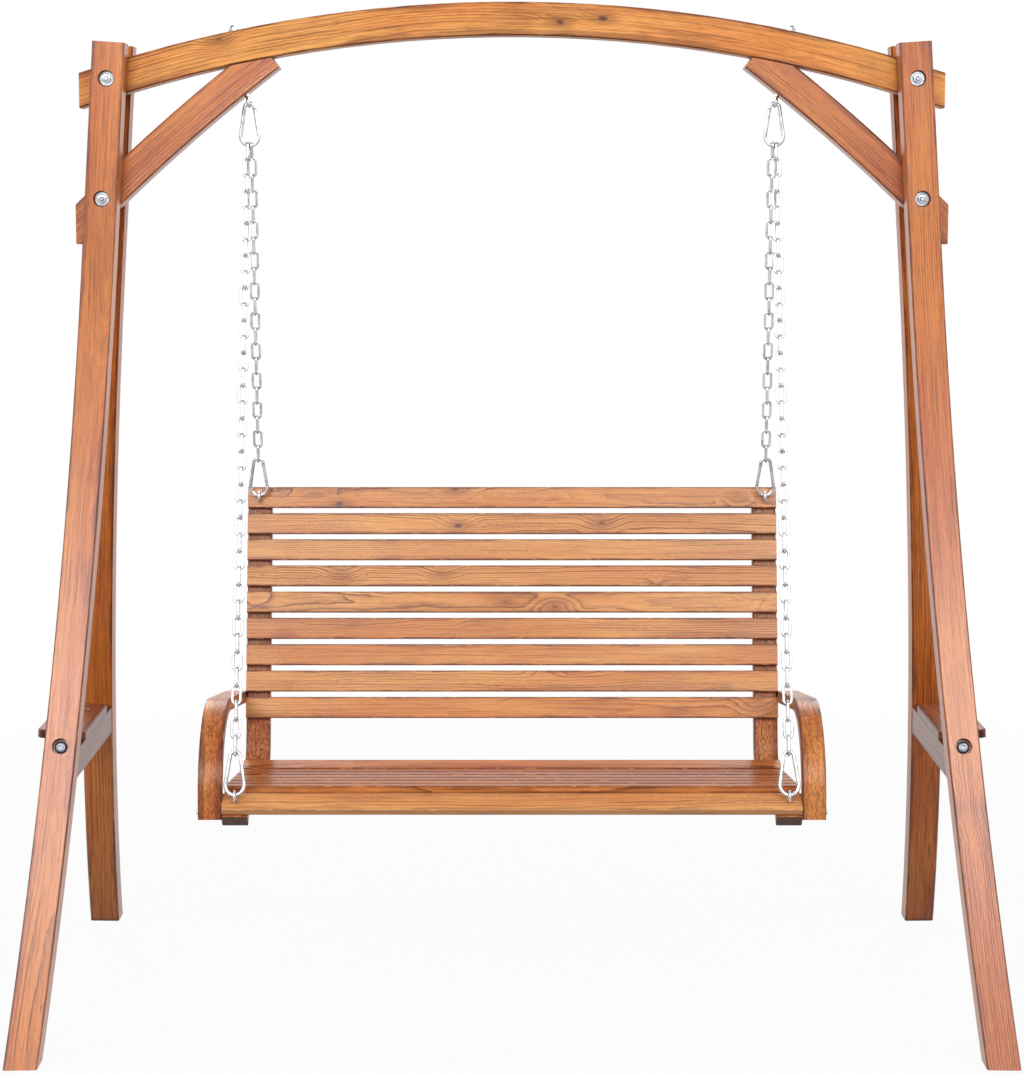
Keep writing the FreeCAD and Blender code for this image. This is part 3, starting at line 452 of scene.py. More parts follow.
@dataclass
class FibreLine:
    """Line that the fibres of a piece follow, in a plane of the object's frame.

    The line is drawn stretch by stretch, and the wood lies on both sides of it.
    """

    origin: Vector
    right: Vector
    up: Vector
    begin: Pair = (0.0, 0.0)
    heading: float = 0.0
    stretches: list[Stretch] = field(default_factory=list)

    def end(self) -> tuple[Pair, float, float]:
        """Find where the line has got to.

        Returns:
            Point, heading and length at the end of the line so far.
        """
        if not self.stretches:
            return self.begin, self.heading, 0.0
        last = self.stretches[-1]
        length = last.before + last.run
        if last.turn == 0:
            x, y = last.start
            step_x, step_y = last.run * math.cos(last.heading), last.run * math.sin(last.heading)
            return (x + step_x, y + step_y), last.heading, length
        cx, cy = self.centre(last)
        heading = last.heading + last.turn * last.run / last.radius
        side = last.turn * last.radius
        return (cx + side * math.sin(heading), cy - side * math.cos(heading)), heading, length

    @staticmethod
    def centre(stretch: Stretch) -> Pair:
        """Find the centre of a bend.

        Args:
            stretch: The bent stretch.

        Returns:
            The centre in the line's plane.
        """
        x, y = stretch.start
        side = stretch.turn * stretch.radius
        return x - side * math.sin(stretch.heading), y + side * math.cos(stretch.heading)

    def straight(self, run: float = 1.0) -> "FibreLine":
        """Go on straight.

        Args:
            run: Distance; on a line of one straight stretch it makes no difference.

        Returns:
            The line itself.
        """
        start, heading, before = self.end()
        self.stretches.append(Stretch(start, heading, run, before))
        return self

    def bend(self, radius: float, degrees: float) -> "FibreLine":
        """Go on round a bend.

        Args:
            radius: Radius of the bend.
            degrees: Turn of the bend, to the left for positive degrees.

        Returns:
            The line itself.
        """
        start, heading, before = self.end()
        turn = 1 if degrees > 0 else -1
        run = radius * math.radians(abs(degrees))
        self.stretches.append(Stretch(start, heading, run, before, radius, turn))
        return self

    def trace(self, runs: Sequence[float], bends: Sequence[Pair]) -> "FibreLine":
        """Go on along straight runs with bends between them.

        Args:
            runs: Length of each run.
            bends: Radius and degrees of each bend.

        Returns:
            The line itself.
        """
        self.straight(runs[0])
        for run, (radius, degrees) in zip(runs[1:], bends):
            self.bend(radius, degrees).straight(run)
        return self

    def ends(self) -> list[tuple[Vector, Optional[float], float]]:
        """Find the cut ends of the piece.

        Returns:
            Outward direction, place along the line and outward sense of both ends; a straight
            piece has no places, because its ends are known by their direction alone.
        """
        _, heading, length = self.end()
        first, last = self.direction(self.heading), self.direction(heading)
        if len(self.stretches) == 1 and not self.stretches[0].turn:
            return [(-first, None, -1.0), (last, None, 1.0)]
        return [(-first, 0.0, -1.0), (last, length, 1.0)]

    def direction(self, heading: float) -> Vector:
        """Direction of a heading in the object's frame."""
        return self.right * math.cos(heading) + self.up * math.sin(heading)

    def follow(self, graph: Graph) -> tuple[Socket, Socket, Socket]:
        """Unroll the piece along its fibres.

        Args:
            graph: The material's tree.

        Returns:
            Distance along the fibres, across them in the plane, and square to the plane.
        """
        local = graph.vector_math("SUBTRACT", graph.place(), tuple(self.origin))
        x, y = graph.dot(local, self.right), graph.dot(local, self.up)
        deep = graph.dot(local, self.right.cross(self.up))
        along: Optional[Socket] = None
        across: Optional[Socket] = None
        for stretch in self.stretches:
            ahead, aside, passed = self.unroll(graph, stretch, x, y)
            along = ahead if along is None else graph.choose(passed, along, ahead)
            across = aside if across is None else graph.choose(passed, across, aside)
        return along, across, deep

    def unroll(self, graph: Graph, stretch: Stretch, x: Socket,
               y: Socket) -> tuple[Socket, Socket, Socket]:
        """Unroll one stretch.

        Args:
            graph: The material's tree.
            stretch: The stretch.
            x: Place to the right in the line's plane.
            y: Place upwards in the line's plane.

        Returns:
            Distance along the fibres, distance to their right, and whether the stretch is reached.
        """
        cos, sin = math.cos(stretch.heading), math.sin(stretch.heading)
        dx, dy = graph.less(x, stretch.start[0]), graph.less(y, stretch.start[1])
        ahead = graph.add(graph.times(dx, cos), graph.times(dy, sin))
        passed = graph.math("GREATER_THAN", ahead, 0.0)
        if stretch.turn == 0:
            aside = graph.less(graph.times(dx, sin), graph.times(dy, cos))
            return graph.add(ahead, stretch.before), aside, passed
        cx, cy = self.centre(stretch)
        rx, ry = graph.less(x, cx), graph.less(y, cy)
        from_x = (stretch.start[0] - cx) / stretch.radius
        from_y = (stretch.start[1] - cy) / stretch.radius
        cross = graph.less(graph.times(ry, from_x), graph.times(rx, from_y))
        level = graph.add(graph.times(rx, from_x), graph.times(ry, from_y))
        angle = graph.math("ARCTAN2", cross, level)
        aside = graph.times(graph.less(graph.reach(rx, ry), stretch.radius), float(stretch.turn))
        turned_run = graph.times(angle, stretch.turn * stretch.radius)
        return graph.add(turned_run, stretch.before), aside, passed


@dataclass(frozen=True)
class Streaks:
    """Noise drawn out along a board, in waves to the metre along and across its fibres.

    The dark window is the levels between which its peaks come out, and the light window the
    levels between which its dips do.
    """

    pull: float
    squeeze: float
    detail: float
    rough: float
    dark: Optional[Pair] = None
    light: Optional[Pair] = None


CLOUDS = Streaks(2.2, 16.0, 3.0, 0.55, dark=(0.32, 0.70))
FIBRES = Streaks(4.5, 270.0, 4.0, 0.7, dark=(0.47, 0.68), light=(0.46, 0.30))
PORES = Streaks(36.0, 520.0, 2.0, 0.6, dark=(0.52, 0.66), light=(0.46, 0.34))
FLAKES = Streaks(130.0, 640.0, 3.0, 0.65, dark=(0.50, 0.62), light=(0.46, 0.36))
CURLS = Streaks(4.5, 22.0, 2.0, 0.5, dark=(0.52, 0.62))
RUFFLES = Streaks(150.0, 520.0, 2.0, 0.6, dark=(0.50, 0.60), light=(0.46, 0.37))
BLOTCHES = Streaks(5.0, 14.0, 4.0, 0.6, dark=(0.48, 0.78))
# Noise of the pale very edges, partly wear and partly painted highlight.
RUB_HIGHLIGHT = Streaks(40.0, 50.0, 3.0, 0.6, dark=(0.54, 0.66))
EDGE_WAVER = Streaks(14.0, 60.0, 3.0, 0.6)
SAP_WAVER = Streaks(2.6, 11.0, 4.0, 0.6)
RING_WAVER = Streaks(7.0, 30.0, 3.0, 0.55)
RIPPLES = Streaks(70.0, 190.0, 2.0, 0.5)


@dataclass(frozen=True)
class Board:
    """Places on one board, unrolled along its fibres, and what makes its grain its own."""

    along: Socket
    far: Socket
    across: Socket
    deep: Socket
    turn: float
    shade: float

    @classmethod
    def unrolled(cls, graph: Graph, line: FibreLine, number: int) -> "Board":
        """Unroll a piece along its fibre line and cut it from its own stretch of the log.

        Args:
            graph: The material's tree.
            line: The line that its fibres follow.
            number: The board's own number.

        Returns:
            The board's places, the turn of its pith and its shade.
        """
        log_step, golden_turn, golden_share, shade_range = 3.7, 2.399, 0.618, 0.14
        along, across, deep = line.follow(graph)
        far = graph.add(along, log_step * number)
        shade = shade_range * (number * golden_share % 1.0 - NOISE_MIDDLE)
        return cls(along, far, across, deep, golden_turn * number, shade)

    def scaled(self, graph: Graph, along: float, across: float, deep: float) -> Socket:
        """Place on the board, with each direction scaled."""
        return graph.vector(graph.times(self.far, along), graph.times(self.across, across),
                            graph.times(self.deep, deep))

    def noise(self, graph: Graph, streaks: Streaks) -> Socket:
        """Noise drawn out along the fibres."""
        place = self.scaled(graph, streaks.pull, streaks.squeeze, streaks.squeeze)
        return graph.noise(place, detail=streaks.detail, rough=streaks.rough)

    def edge_gap(self, graph: Graph, half: Pair) -> Socket:
        """Measure how far the nearest long edge is.

        Args:
            graph: The material's tree.
            half: Half of the board's size across the fibres, in the line's plane and square to it.

        Returns:
            The distance in metres.
        """
        aside = graph.less(half[0], graph.math("ABSOLUTE", self.across))
        below = graph.less(half[1], graph.math("ABSOLUTE", self.deep))
        return graph.math("MAXIMUM", aside, below)


@dataclass(frozen=True)
class Knots:
    """Where knots can sit on a board, and how far they reach, in metres."""

    cells: Place = (2.6, 17.0, 12.0)
    squash: Place = (0.50, 1.0, 0.40)
    fray_scale: float = 14.0
    fray_rough: float = 0.6
    fray_reach: float = 0.004
    swirl: Pair = (0.034, 0.004)
    heart: Pair = (0.0085, 0.0045)
    heart_share: float = 0.85
    halo: Pair = (0.024, 0.007)
    halo_share: float = 0.42

    def masks(self, graph: Graph, board: Board, share: float) -> tuple[Socket, Socket, Socket]:
        """Find the knots of one board.

        Args:
            graph: The material's tree.
            board: The board.
            share: Share of the possible knots that are there.

        Returns:
            Push on the rings, dark heart and brown halo of the knots.
        """
        scaled = board.scaled(graph, *self.cells)
        cells = graph.node("TexVoronoi", voronoi_dimensions="3D", feature="F1")
        graph.feed(cells.inputs["Vector"], scaled)
        cells.inputs["Scale"].default_value = 1.0
        gap = graph.vector_math("SUBTRACT", scaled, cells.outputs["Position"])
        metres = tuple(squash / count for squash, count in zip(self.squash, self.cells))
        away = graph.vector_math("LENGTH", graph.vector_math("MULTIPLY", gap, metres))
        split = graph.node("SeparateColor")
        graph.feed(split.inputs[0], cells.outputs["Color"])
        chosen = graph.math("LESS_THAN", split.outputs[0], share)
        fray = graph.noise(scaled, self.fray_scale, rough=self.fray_rough)
        ragged = graph.add(away, graph.times(fray, self.fray_reach))
        swirl = graph.times(chosen, graph.fade(away, *self.swirl))
        heart = graph.times(chosen, graph.fade(ragged, *self.heart, 0.0, self.heart_share))
        halo = graph.times(chosen, graph.fade(ragged, *self.halo, 0.0, self.halo_share))
        return swirl, heart, halo


@dataclass(frozen=True)
class Rings:
    """Growth rings about a pith line that lies beside a board and wanders along it, in metres.

    The late and early curves run across one year; years and regions fade them here and there.
    """

    pith: float = 0.050
    wander: float = 0.060
    drift_pull: float = 1.1
    slide_pull: float = 0.8
    slide_row: float = 5.0
    knot_push: float = 0.011
    late: tuple[Pair, ...] = (
        (0.0, 0.90), (0.04, 0.0), (0.50, 0.03), (0.74, 0.45), (0.90, 1.0), (1.0, 0.95))
    early: tuple[Pair, ...] = ((0.0, 0.0), (0.06, 1.0), (0.20, 0.75), (0.42, 0.0), (1.0, 0.0))
    year_scale: float = 1.3
    year_detail: float = 1.0
    year_pull: float = 0.6
    year_window: Pair = (0.36, 0.58)
    year_least: float = 0.28
    region_pull: float = 1.3
    region_squeeze: float = 14.0
    region_window: Pair = (0.40, 0.55)
    region_least: float = 0.22

    def from_pith(self, graph: Graph, place: Socket, pith: float, wander: Socket) -> Socket:
        """Distance from the wandering pith in one direction."""
        aside = graph.times(graph.less(wander, NOISE_MIDDLE), self.wander)
        return graph.less(graph.add(place, pith), aside)

    def radius(self, graph: Graph, board: Board) -> Socket:
        """Measure the distance from the pith.

        Args:
            graph: The material's tree.
            board: The board.

        Returns:
            The distance in metres.
        """
        drift = graph.noise(graph.vector(graph.times(board.far, self.drift_pull), board.turn, 0.0))
        slide = graph.noise(graph.vector(graph.times(board.far, self.slide_pull), self.slide_row,
                                         board.turn))
        aside = self.from_pith(graph, board.across, self.pith * math.cos(board.turn), drift)
        below = self.from_pith(graph, board.deep, self.pith * math.sin(board.turn), slide)
        return graph.reach(aside, below)

    def bands(self, graph: Graph, board: Board, spacing: float, wave: float,
              swirl: Socket) -> tuple[Socket, Socket]:
        """Draw the rings of one board.

        Args:
            graph: The material's tree.
            board: The board.
            spacing: Width of one year.
            wave: How far the rings waver.
            swirl: Push of the knots on the rings.

        Returns:
            The dark late wood, which ends sharply, and the pale early wood beyond it.
        """
        waver = graph.less(board.noise(graph, RING_WAVER), NOISE_MIDDLE)
        radius = graph.add(self.radius(graph, board), graph.times(waver, wave))
        radius = graph.add(radius, graph.times(swirl, self.knot_push))
        phase = graph.math("DIVIDE", radius, spacing)
        share = graph.math("FRACT", phase)
        count = graph.math("FLOOR", phase)
        year = graph.noise(graph.vector(count, board.turn, graph.times(board.far, self.year_pull)),
                           self.year_scale, self.year_detail)
        region = graph.noise(graph.vector(graph.times(board.far, self.region_pull),
                                          graph.times(board.across, self.region_squeeze),
                                          graph.add(board.deep, board.turn)))
        shown = graph.times(graph.fade(year, *self.year_window, self.year_least),
                            graph.fade(region, *self.region_window, self.region_least))
        late, early = graph.ramp(share, self.late), graph.ramp(share, self.early)
        return graph.times(late, shown), graph.times(early, shown)


@dataclass(frozen=True)
class EdgeWear:
    """Stain along a board's long edges, and pale wood at the very edges that is partly rubbed through and
    partly a painted highlight, in metres from the edge.
    """

    waver_level: float = 0.62
    waver_reach: float = 0.012
    inner: float = -0.0010
    sap_level: float = 0.54
    sap_reach: float = 0.065
    sap_gap: Pair = (0.0045, -0.0030)
    # The rub fields place pale wood at the very edges: partly wear, partly painted highlight.
    rub_highlight_share: float = 0.7
    rub_highlight_gap: Pair = (0.0030, 0.0008)


@dataclass(frozen=True)
class CutEnds:
    """How dark cut ends are, how square they face, and how near the line's end they are, in metres."""

    share: float = 0.88
    square: Pair = (0.75, 0.95)
    near: Pair = (-0.045, -0.030)


@dataclass(frozen=True)
class Relief:
    """Share of each mark in the relief of a brushed and varnished board, and its depth in metres."""

    late: float = 0.5
    fibre: float = 0.6
    ripple: float = 0.8
    knot: float = 0.6
    strength: float = 0.50
    depth: float = 0.0006


@dataclass(frozen=True)
class Shine:
    """How far fibres and late wood change the roughness of the varnish."""

    fibre: float = 0.16
    late: float = -0.05
    mean: float = 0.06


@dataclass(frozen=True)
class Grain:
    """Marks of one board that its stain and its relief share."""

    late: Socket
    early: Socket
    fibre: Socket
    heart: Socket
    halo: Socket


@dataclass(frozen=True)
class TimberFinish:
    """Stain, grain, gloss and painted shade in corners of one kind of timber.

    Its marks are shares from 0 to 1 of the colour that they bring in; widths are in metres.
    """

    pale: Tone
    body: Tone
    late: Tone
    knot: Tone
    ring: float = 0.0050
    wave: float = 0.0050
    contrast: float = 0.75
    glow: float = 0.45
    streak: float = 0.58
    pore: float = 0.16
    blotch: float = 0.3
    fleck: float = 0.0
    curl: float = 0.0
    knots: float = 0.25
    edge: float = 0.80
    edge_width: float = 0.0030
    band: float = 0.50
    # The crevice fields paint shade into inside corners, holes and narrow gaps: its share, how far other
    # surfaces count, and the open shares where it starts and where it is full.
    crevice_shade: float = 0.70
    crevice_shade_reach: float = 0.012
    crevice_shade_window: Pair = (0.80, 0.25)
    roughness: float = 0.29
    gloss: float = 0.62
    rings: Rings = Rings()
    knot_shape: Knots = Knots()
    wear: EdgeWear = EdgeWear()
    cut_ends: CutEnds = CutEnds()
    relief: Relief = Relief()
    shine: Shine = Shine()

    def make(self, name: str, line: FibreLine, half: Pair, number: int) -> bpy.types.Material:
        """Make the material of one piece.

        Args:
            name: The material's name.
            line: The line that its fibres follow.
            half: Half of its size across the fibres, in the line's plane and square to it.
            number: The board's own number.

        Returns:
            The finished material.
        """
        graph = Graph.of_material(name)
        board = Board.unrolled(graph, line, number)
        grain = self.grain(graph, board)
        colour = self.stain(graph, board, grain)
        colour = self.end_grain(graph, line, board, colour)
        colour = self.aged_edges(graph, board, half, colour)
        # Painted shade in corners, holes and gaps.
        colour = self.paint_crevice_shade(graph, colour)
        shine = graph.add(graph.times(grain.fibre, self.shine.fibre),
                          graph.times(grain.late, self.shine.late))
        roughness = graph.add(shine, self.roughness - self.shine.mean)
        return graph.surface(colour, roughness, self.raised(graph, board, grain),
                             {"Specular IOR Level": self.gloss})

    def grain(self, graph: Graph, board: Board) -> Grain:
        """Draw rings, fibres and knots of one board.

        Args:
            graph: The material's tree.
            board: The board.

        Returns:
            Its marks.
        """
        swirl, heart, halo = self.knot_shape.masks(graph, board, self.knots)
        late, early = self.rings.bands(graph, board, self.ring, self.wave, swirl)
        return Grain(late, early, board.noise(graph, FIBRES), heart, halo)

    def mottle(self, graph: Graph, colour: Socket, noise: Socket, streaks: Streaks, dark: Value,
               light: Value) -> Socket:
        """Darken a colour at the peaks of a noise and lighten it at the dips.

        Args:
            graph: The material's tree.
            colour: The colour so far.
            noise: The noise.
            streaks: The noise's windows.
            dark: Share of late wood at the peaks.
            light: Share of pale wood at the dips.

        Returns:
            The mottled colour.
        """
        peaks = graph.times(graph.fade(noise, *streaks.dark), dark)
        dips = graph.times(graph.fade(noise, *streaks.light), light)
        return graph.blend(dips, graph.blend(peaks, colour, self.late), self.pale)

    def stain(self, graph: Graph, board: Board, grain: Grain) -> Socket:
        """Colour the face: clouds, rings, streaks, pores, flecks, curls, blotches and knots.

        Args:
            graph: The material's tree.
            board: The board.
            grain: Its marks.

        Returns:
            The colour of the face.
        """
        low, high = CLOUDS.dark
        cloud = graph.fade(board.noise(graph, CLOUDS), low + board.shade, high + board.shade)
        colour = graph.blend(cloud, self.pale, self.body)
        colour = graph.blend(graph.times(grain.early, self.glow), colour, self.pale)
        colour = graph.blend(graph.times(grain.late, self.contrast), colour, self.late)
        colour = self.mottle(graph, colour, grain.fibre, FIBRES, self.streak, self.glow)
        colour = self.mottle(graph, colour, board.noise(graph, PORES), PORES, self.pore, self.pore)
        if self.fleck > 0.0:
            colour = self.mottle(graph, colour, board.noise(graph, FLAKES), FLAKES, self.fleck, self.fleck)
        if self.curl > 0.0:
            patch = graph.fade(board.noise(graph, CURLS), *CURLS.dark, 0.0, self.curl)
            colour = self.mottle(graph, colour, board.noise(graph, RUFFLES), RUFFLES, patch, patch)
        blotch = graph.fade(board.noise(graph, BLOTCHES), *BLOTCHES.dark, 0.0, self.blotch)
        colour = graph.blend(blotch, colour, self.late)
        colour = graph.blend(grain.halo, colour, self.late)
        return graph.blend(grain.heart, colour, self.knot)

    def end_grain(self, graph: Graph, line: FibreLine, board: Board, colour: Socket) -> Socket:
        """Darken the cut ends of a piece.

        Args:
            graph: The material's tree.
            line: The line that its fibres follow.
            board: The board.
            colour: The colour so far.

        Returns:
            The colour with dark ends.
        """
        ends = self.cut_ends
        for direction, place, toward in line.ends():
            square = graph.fade(graph.dot(graph.facing(), direction), *ends.square, 0.0, ends.share)
            if place is not None:
                beyond = graph.times(graph.less(board.along, place), toward)
                square = graph.times(square, graph.fade(beyond, *ends.near))
            colour = graph.blend(square, colour, self.knot)
        return colour

    def aged_edges(self, graph: Graph, board: Board, half: Pair, colour: Socket) -> Socket:
        """Gather dark stain along the long edges, and lighten the very edges in places: partly rubbed
        through, partly a painted highlight.

        Args:
            graph: The material's tree.
            board: The board.
            half: Half of its size across the fibres, in the line's plane and square to it.
            colour: The colour so far.

        Returns:
            The colour with aged edges.
        """
        wear = self.wear
        gap = board.edge_gap(graph, half)
        waver = graph.times(graph.less(board.noise(graph, EDGE_WAVER), wear.waver_level), wear.waver_reach)
        ragged = graph.fade(graph.add(gap, waver), self.edge_width, wear.inner, 0.0, self.edge)
        colour = graph.blend(ragged, colour, self.late)
        sap = graph.times(graph.less(board.noise(graph, SAP_WAVER), wear.sap_level), wear.sap_reach)
        heart = graph.fade(graph.add(gap, sap), *wear.sap_gap, 0.0, self.band)
        colour = graph.blend(heart, colour, self.late)
        # Pale very edges: partly worn through, partly a painted highlight.
        rub_highlight = graph.fade(board.noise(graph, RUB_HIGHLIGHT), *RUB_HIGHLIGHT.dark, 0.0, wear.rub_highlight_share)
        return graph.blend(graph.times(graph.fade(gap, *wear.rub_highlight_gap), rub_highlight), colour, self.pale)

    def paint_crevice_shade(self, graph: Graph, colour: Socket) -> Socket:
        """Paint shade into inside corners, holes and narrow gaps, where the surroundings are closed."""
        # Painted shade: darker the more closed the surroundings are.
        closed = graph.fade(graph.openness(self.crevice_shade_reach), *self.crevice_shade_window, 0.0, self.crevice_shade)
        return graph.blend(closed, colour, self.knot)

    def raised(self, graph: Graph, board: Board, grain: Grain) -> Socket:
        """Raise late wood, fibres and a slightly rippled varnish, and sink the knots.

        Args:
            graph: The material's tree.
            board: The board.
            grain: Its marks.

        Returns:
            The direction of the surface after the relief.
        """
        relief = self.relief
        height = graph.add(graph.times(grain.late, relief.late), graph.times(grain.fibre, relief.fibre))
        height = graph.add(height, graph.times(board.noise(graph, RIPPLES), relief.ripple))
        height = graph.less(height, graph.times(grain.heart, relief.knot))
        return graph.bump(height, relief.strength, relief.depth)


@dataclass(frozen=True)
class ZincFinish:
    """Bright plated steel with faint clouding, fine scratches and painted shade where pieces meet.

    The painted shade comes in while the open share of the surroundings falls from where it starts to where
    it is full.
    """

    bright: Tone
    dull: Tone
    # Colour of the painted shade where pieces meet.
    shade_tone: Tone
    roughness: float
    scale: float
    reach: float = 0.005
    shade_start: float = 0.80
    shade_full: float = 0.30
    shade_share: float = 0.9
    cloud_detail: float = 4.0
    cloud_rough: float = 0.6
    cloud_window: Pair = (0.35, 0.7)
    grit_finer: float = 14.0
    grit_detail: float = 3.0
    grit_rough: float = 0.65
    grit_window: Pair = (0.55, 0.8)
    grit_share: float = 0.25
    grit_height: float = 0.4
    grit_shine: float = 0.22
    mean_shine: float = 0.08
    relief: Pair = (0.12, 0.0003)

    def make(self, name: str) -> bpy.types.Material:
        """Make the metal.

        Args:
            name: The material's name.

        Returns:
            The finished material.
        """
        graph = Graph.of_material(name)
        place = graph.place()
        cloud = graph.noise(place, self.scale, self.cloud_detail, self.cloud_rough)
        grit = graph.noise(place, self.scale * self.grit_finer, self.grit_detail, self.grit_rough)
        colour = graph.blend(graph.fade(cloud, *self.cloud_window), self.bright, self.dull)
        colour = graph.blend(graph.fade(grit, *self.grit_window, 0.0, self.grit_share), colour, self.dull)
        # Painted shade where pieces meet: darker the more closed the surroundings are.
        closed = graph.fade(graph.openness(self.reach), self.shade_start, self.shade_full, 0.0, self.shade_share)
        colour = graph.blend(closed, colour, self.shade_tone)
        height = graph.add(cloud, graph.times(grit, self.grit_height))
        roughness = graph.add(graph.times(grit, self.grit_shine), self.roughness - self.mean_shine)
        return graph.surface(colour, roughness, graph.bump(height, *self.relief), {"Metallic": 1.0})


HONEY = TimberFinish(
    pale=tone(221, 133, 64), body=tone(191, 96, 42), late=tone(98, 40, 20), knot=tone(58, 28, 18),
    ring=0.0046, wave=0.0065, contrast=0.74, glow=0.70, pore=0.26, knots=0.22, gloss=0.75)
HONEY_BEAM = replace(
    HONEY, pale=tone(249, 175, 92), body=tone(227, 138, 64), contrast=0.60, knots=0.40, roughness=0.42,
    gloss=0.36)
# A darker copy of the legs' stain for the rear legs: painted shade.
HONEY_REAR_SHADED = replace(HONEY, pale=tone(214, 130, 60), body=tone(188, 98, 40), contrast=0.55, gloss=0.30)
# Darker than the legs' stain for the spreaders; the darkness stands in for the shade that falls on them
# under the seat, so it is painted shade.
BOARD_BROWN = TimberFinish(
    pale=tone(160, 92, 62), body=tone(118, 60, 40), late=tone(68, 30, 22), knot=tone(52, 26, 18),
    ring=0.0058, contrast=0.75, knots=0.15, gloss=0.25)
SLAT_HONEY = TimberFinish(
    pale=tone(236, 168, 98), body=tone(216, 134, 68), late=tone(116, 54, 28), knot=tone(66, 30, 24),
    ring=0.0040, wave=0.0085, contrast=0.88, glow=0.62, streak=0.50, blotch=0.22, curl=0.24, knots=0.70,
    band=0.28)
# The front slat takes less painted shade in its corners.
FRONT_HONEY = replace(SLAT_HONEY, knots=0.10, edge=0.25, band=0.10, crevice_shade=0.45)
# The seat slats take strong painted shade in the gaps between them.
SEAT_BROWN = TimberFinish(
    pale=tone(226, 142, 78), body=tone(190, 100, 46), late=tone(88, 36, 20), knot=tone(52, 24, 16),
    ring=0.0046, contrast=0.70, knots=0.20, edge=0.55, edge_width=0.0045, band=0.15, crevice_shade=0.85,
    gloss=0.22)
BENT_RED = TimberFinish(
    pale=tone(240, 161, 102), body=tone(190, 104, 57), late=tone(86, 40, 26), knot=tone(48, 26, 20),
    ring=0.0080, contrast=0.20, glow=0.30, blotch=0.70, fleck=0.80, knots=0.0, band=0.40, gloss=0.35)
ARM_AMBER = TimberFinish(
    pale=tone(232, 154, 86), body=tone(182, 94, 42), late=tone(92, 36, 18), knot=tone(62, 30, 20),
    ring=0.0090, contrast=0.18, glow=0.20, blotch=0.85, fleck=0.62, knots=0.0, band=0.60, gloss=0.30)
ZINC_BRIGHT = ZincFinish(
    bright=tone(220, 222, 227), dull=tone(170, 173, 180), shade_tone=tone(34, 36, 42),
    roughness=0.22, scale=60.0)
ZINC_DULL = ZincFinish(
    bright=tone(206, 209, 215), dull=tone(150, 153, 160), shade_tone=tone(24, 26, 32),
    roughness=0.26, scale=90.0, reach=0.006, shade_start=0.62, shade_full=0.25)
# The eyes take a thinner band of painted shade where pieces meet.
ZINC_EYE = replace(ZINC_BRIGHT, reach=0.003, shade_start=0.65, scale=90.0)
# A darker copy of the plated steel for the bolts in their recesses: painted shade, with strong painted
# shade where pieces meet.
ZINC_SUNK_SHADED = ZincFinish(
    bright=tone(150, 156, 166), dull=tone(96, 100, 110), shade_tone=tone(18, 20, 26),
    roughness=0.40, scale=140.0, reach=0.004, shade_start=0.60, shade_full=0.20)


def dress(node: str, material: bpy.types.Material) -> None:
    """Give a solid of the frame its finished material.

    Args:
        node: The solid's name.
        material: Its material.
    """
    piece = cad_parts[node]
    piece.data.materials.clear()
    piece.data.materials.append(material)
    LOG.info("dressed %s", node)


def node_centre(node: str) -> Vector:
    """Middle of a node's box at rest."""
    low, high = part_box(node)
    return (low + high) / 2


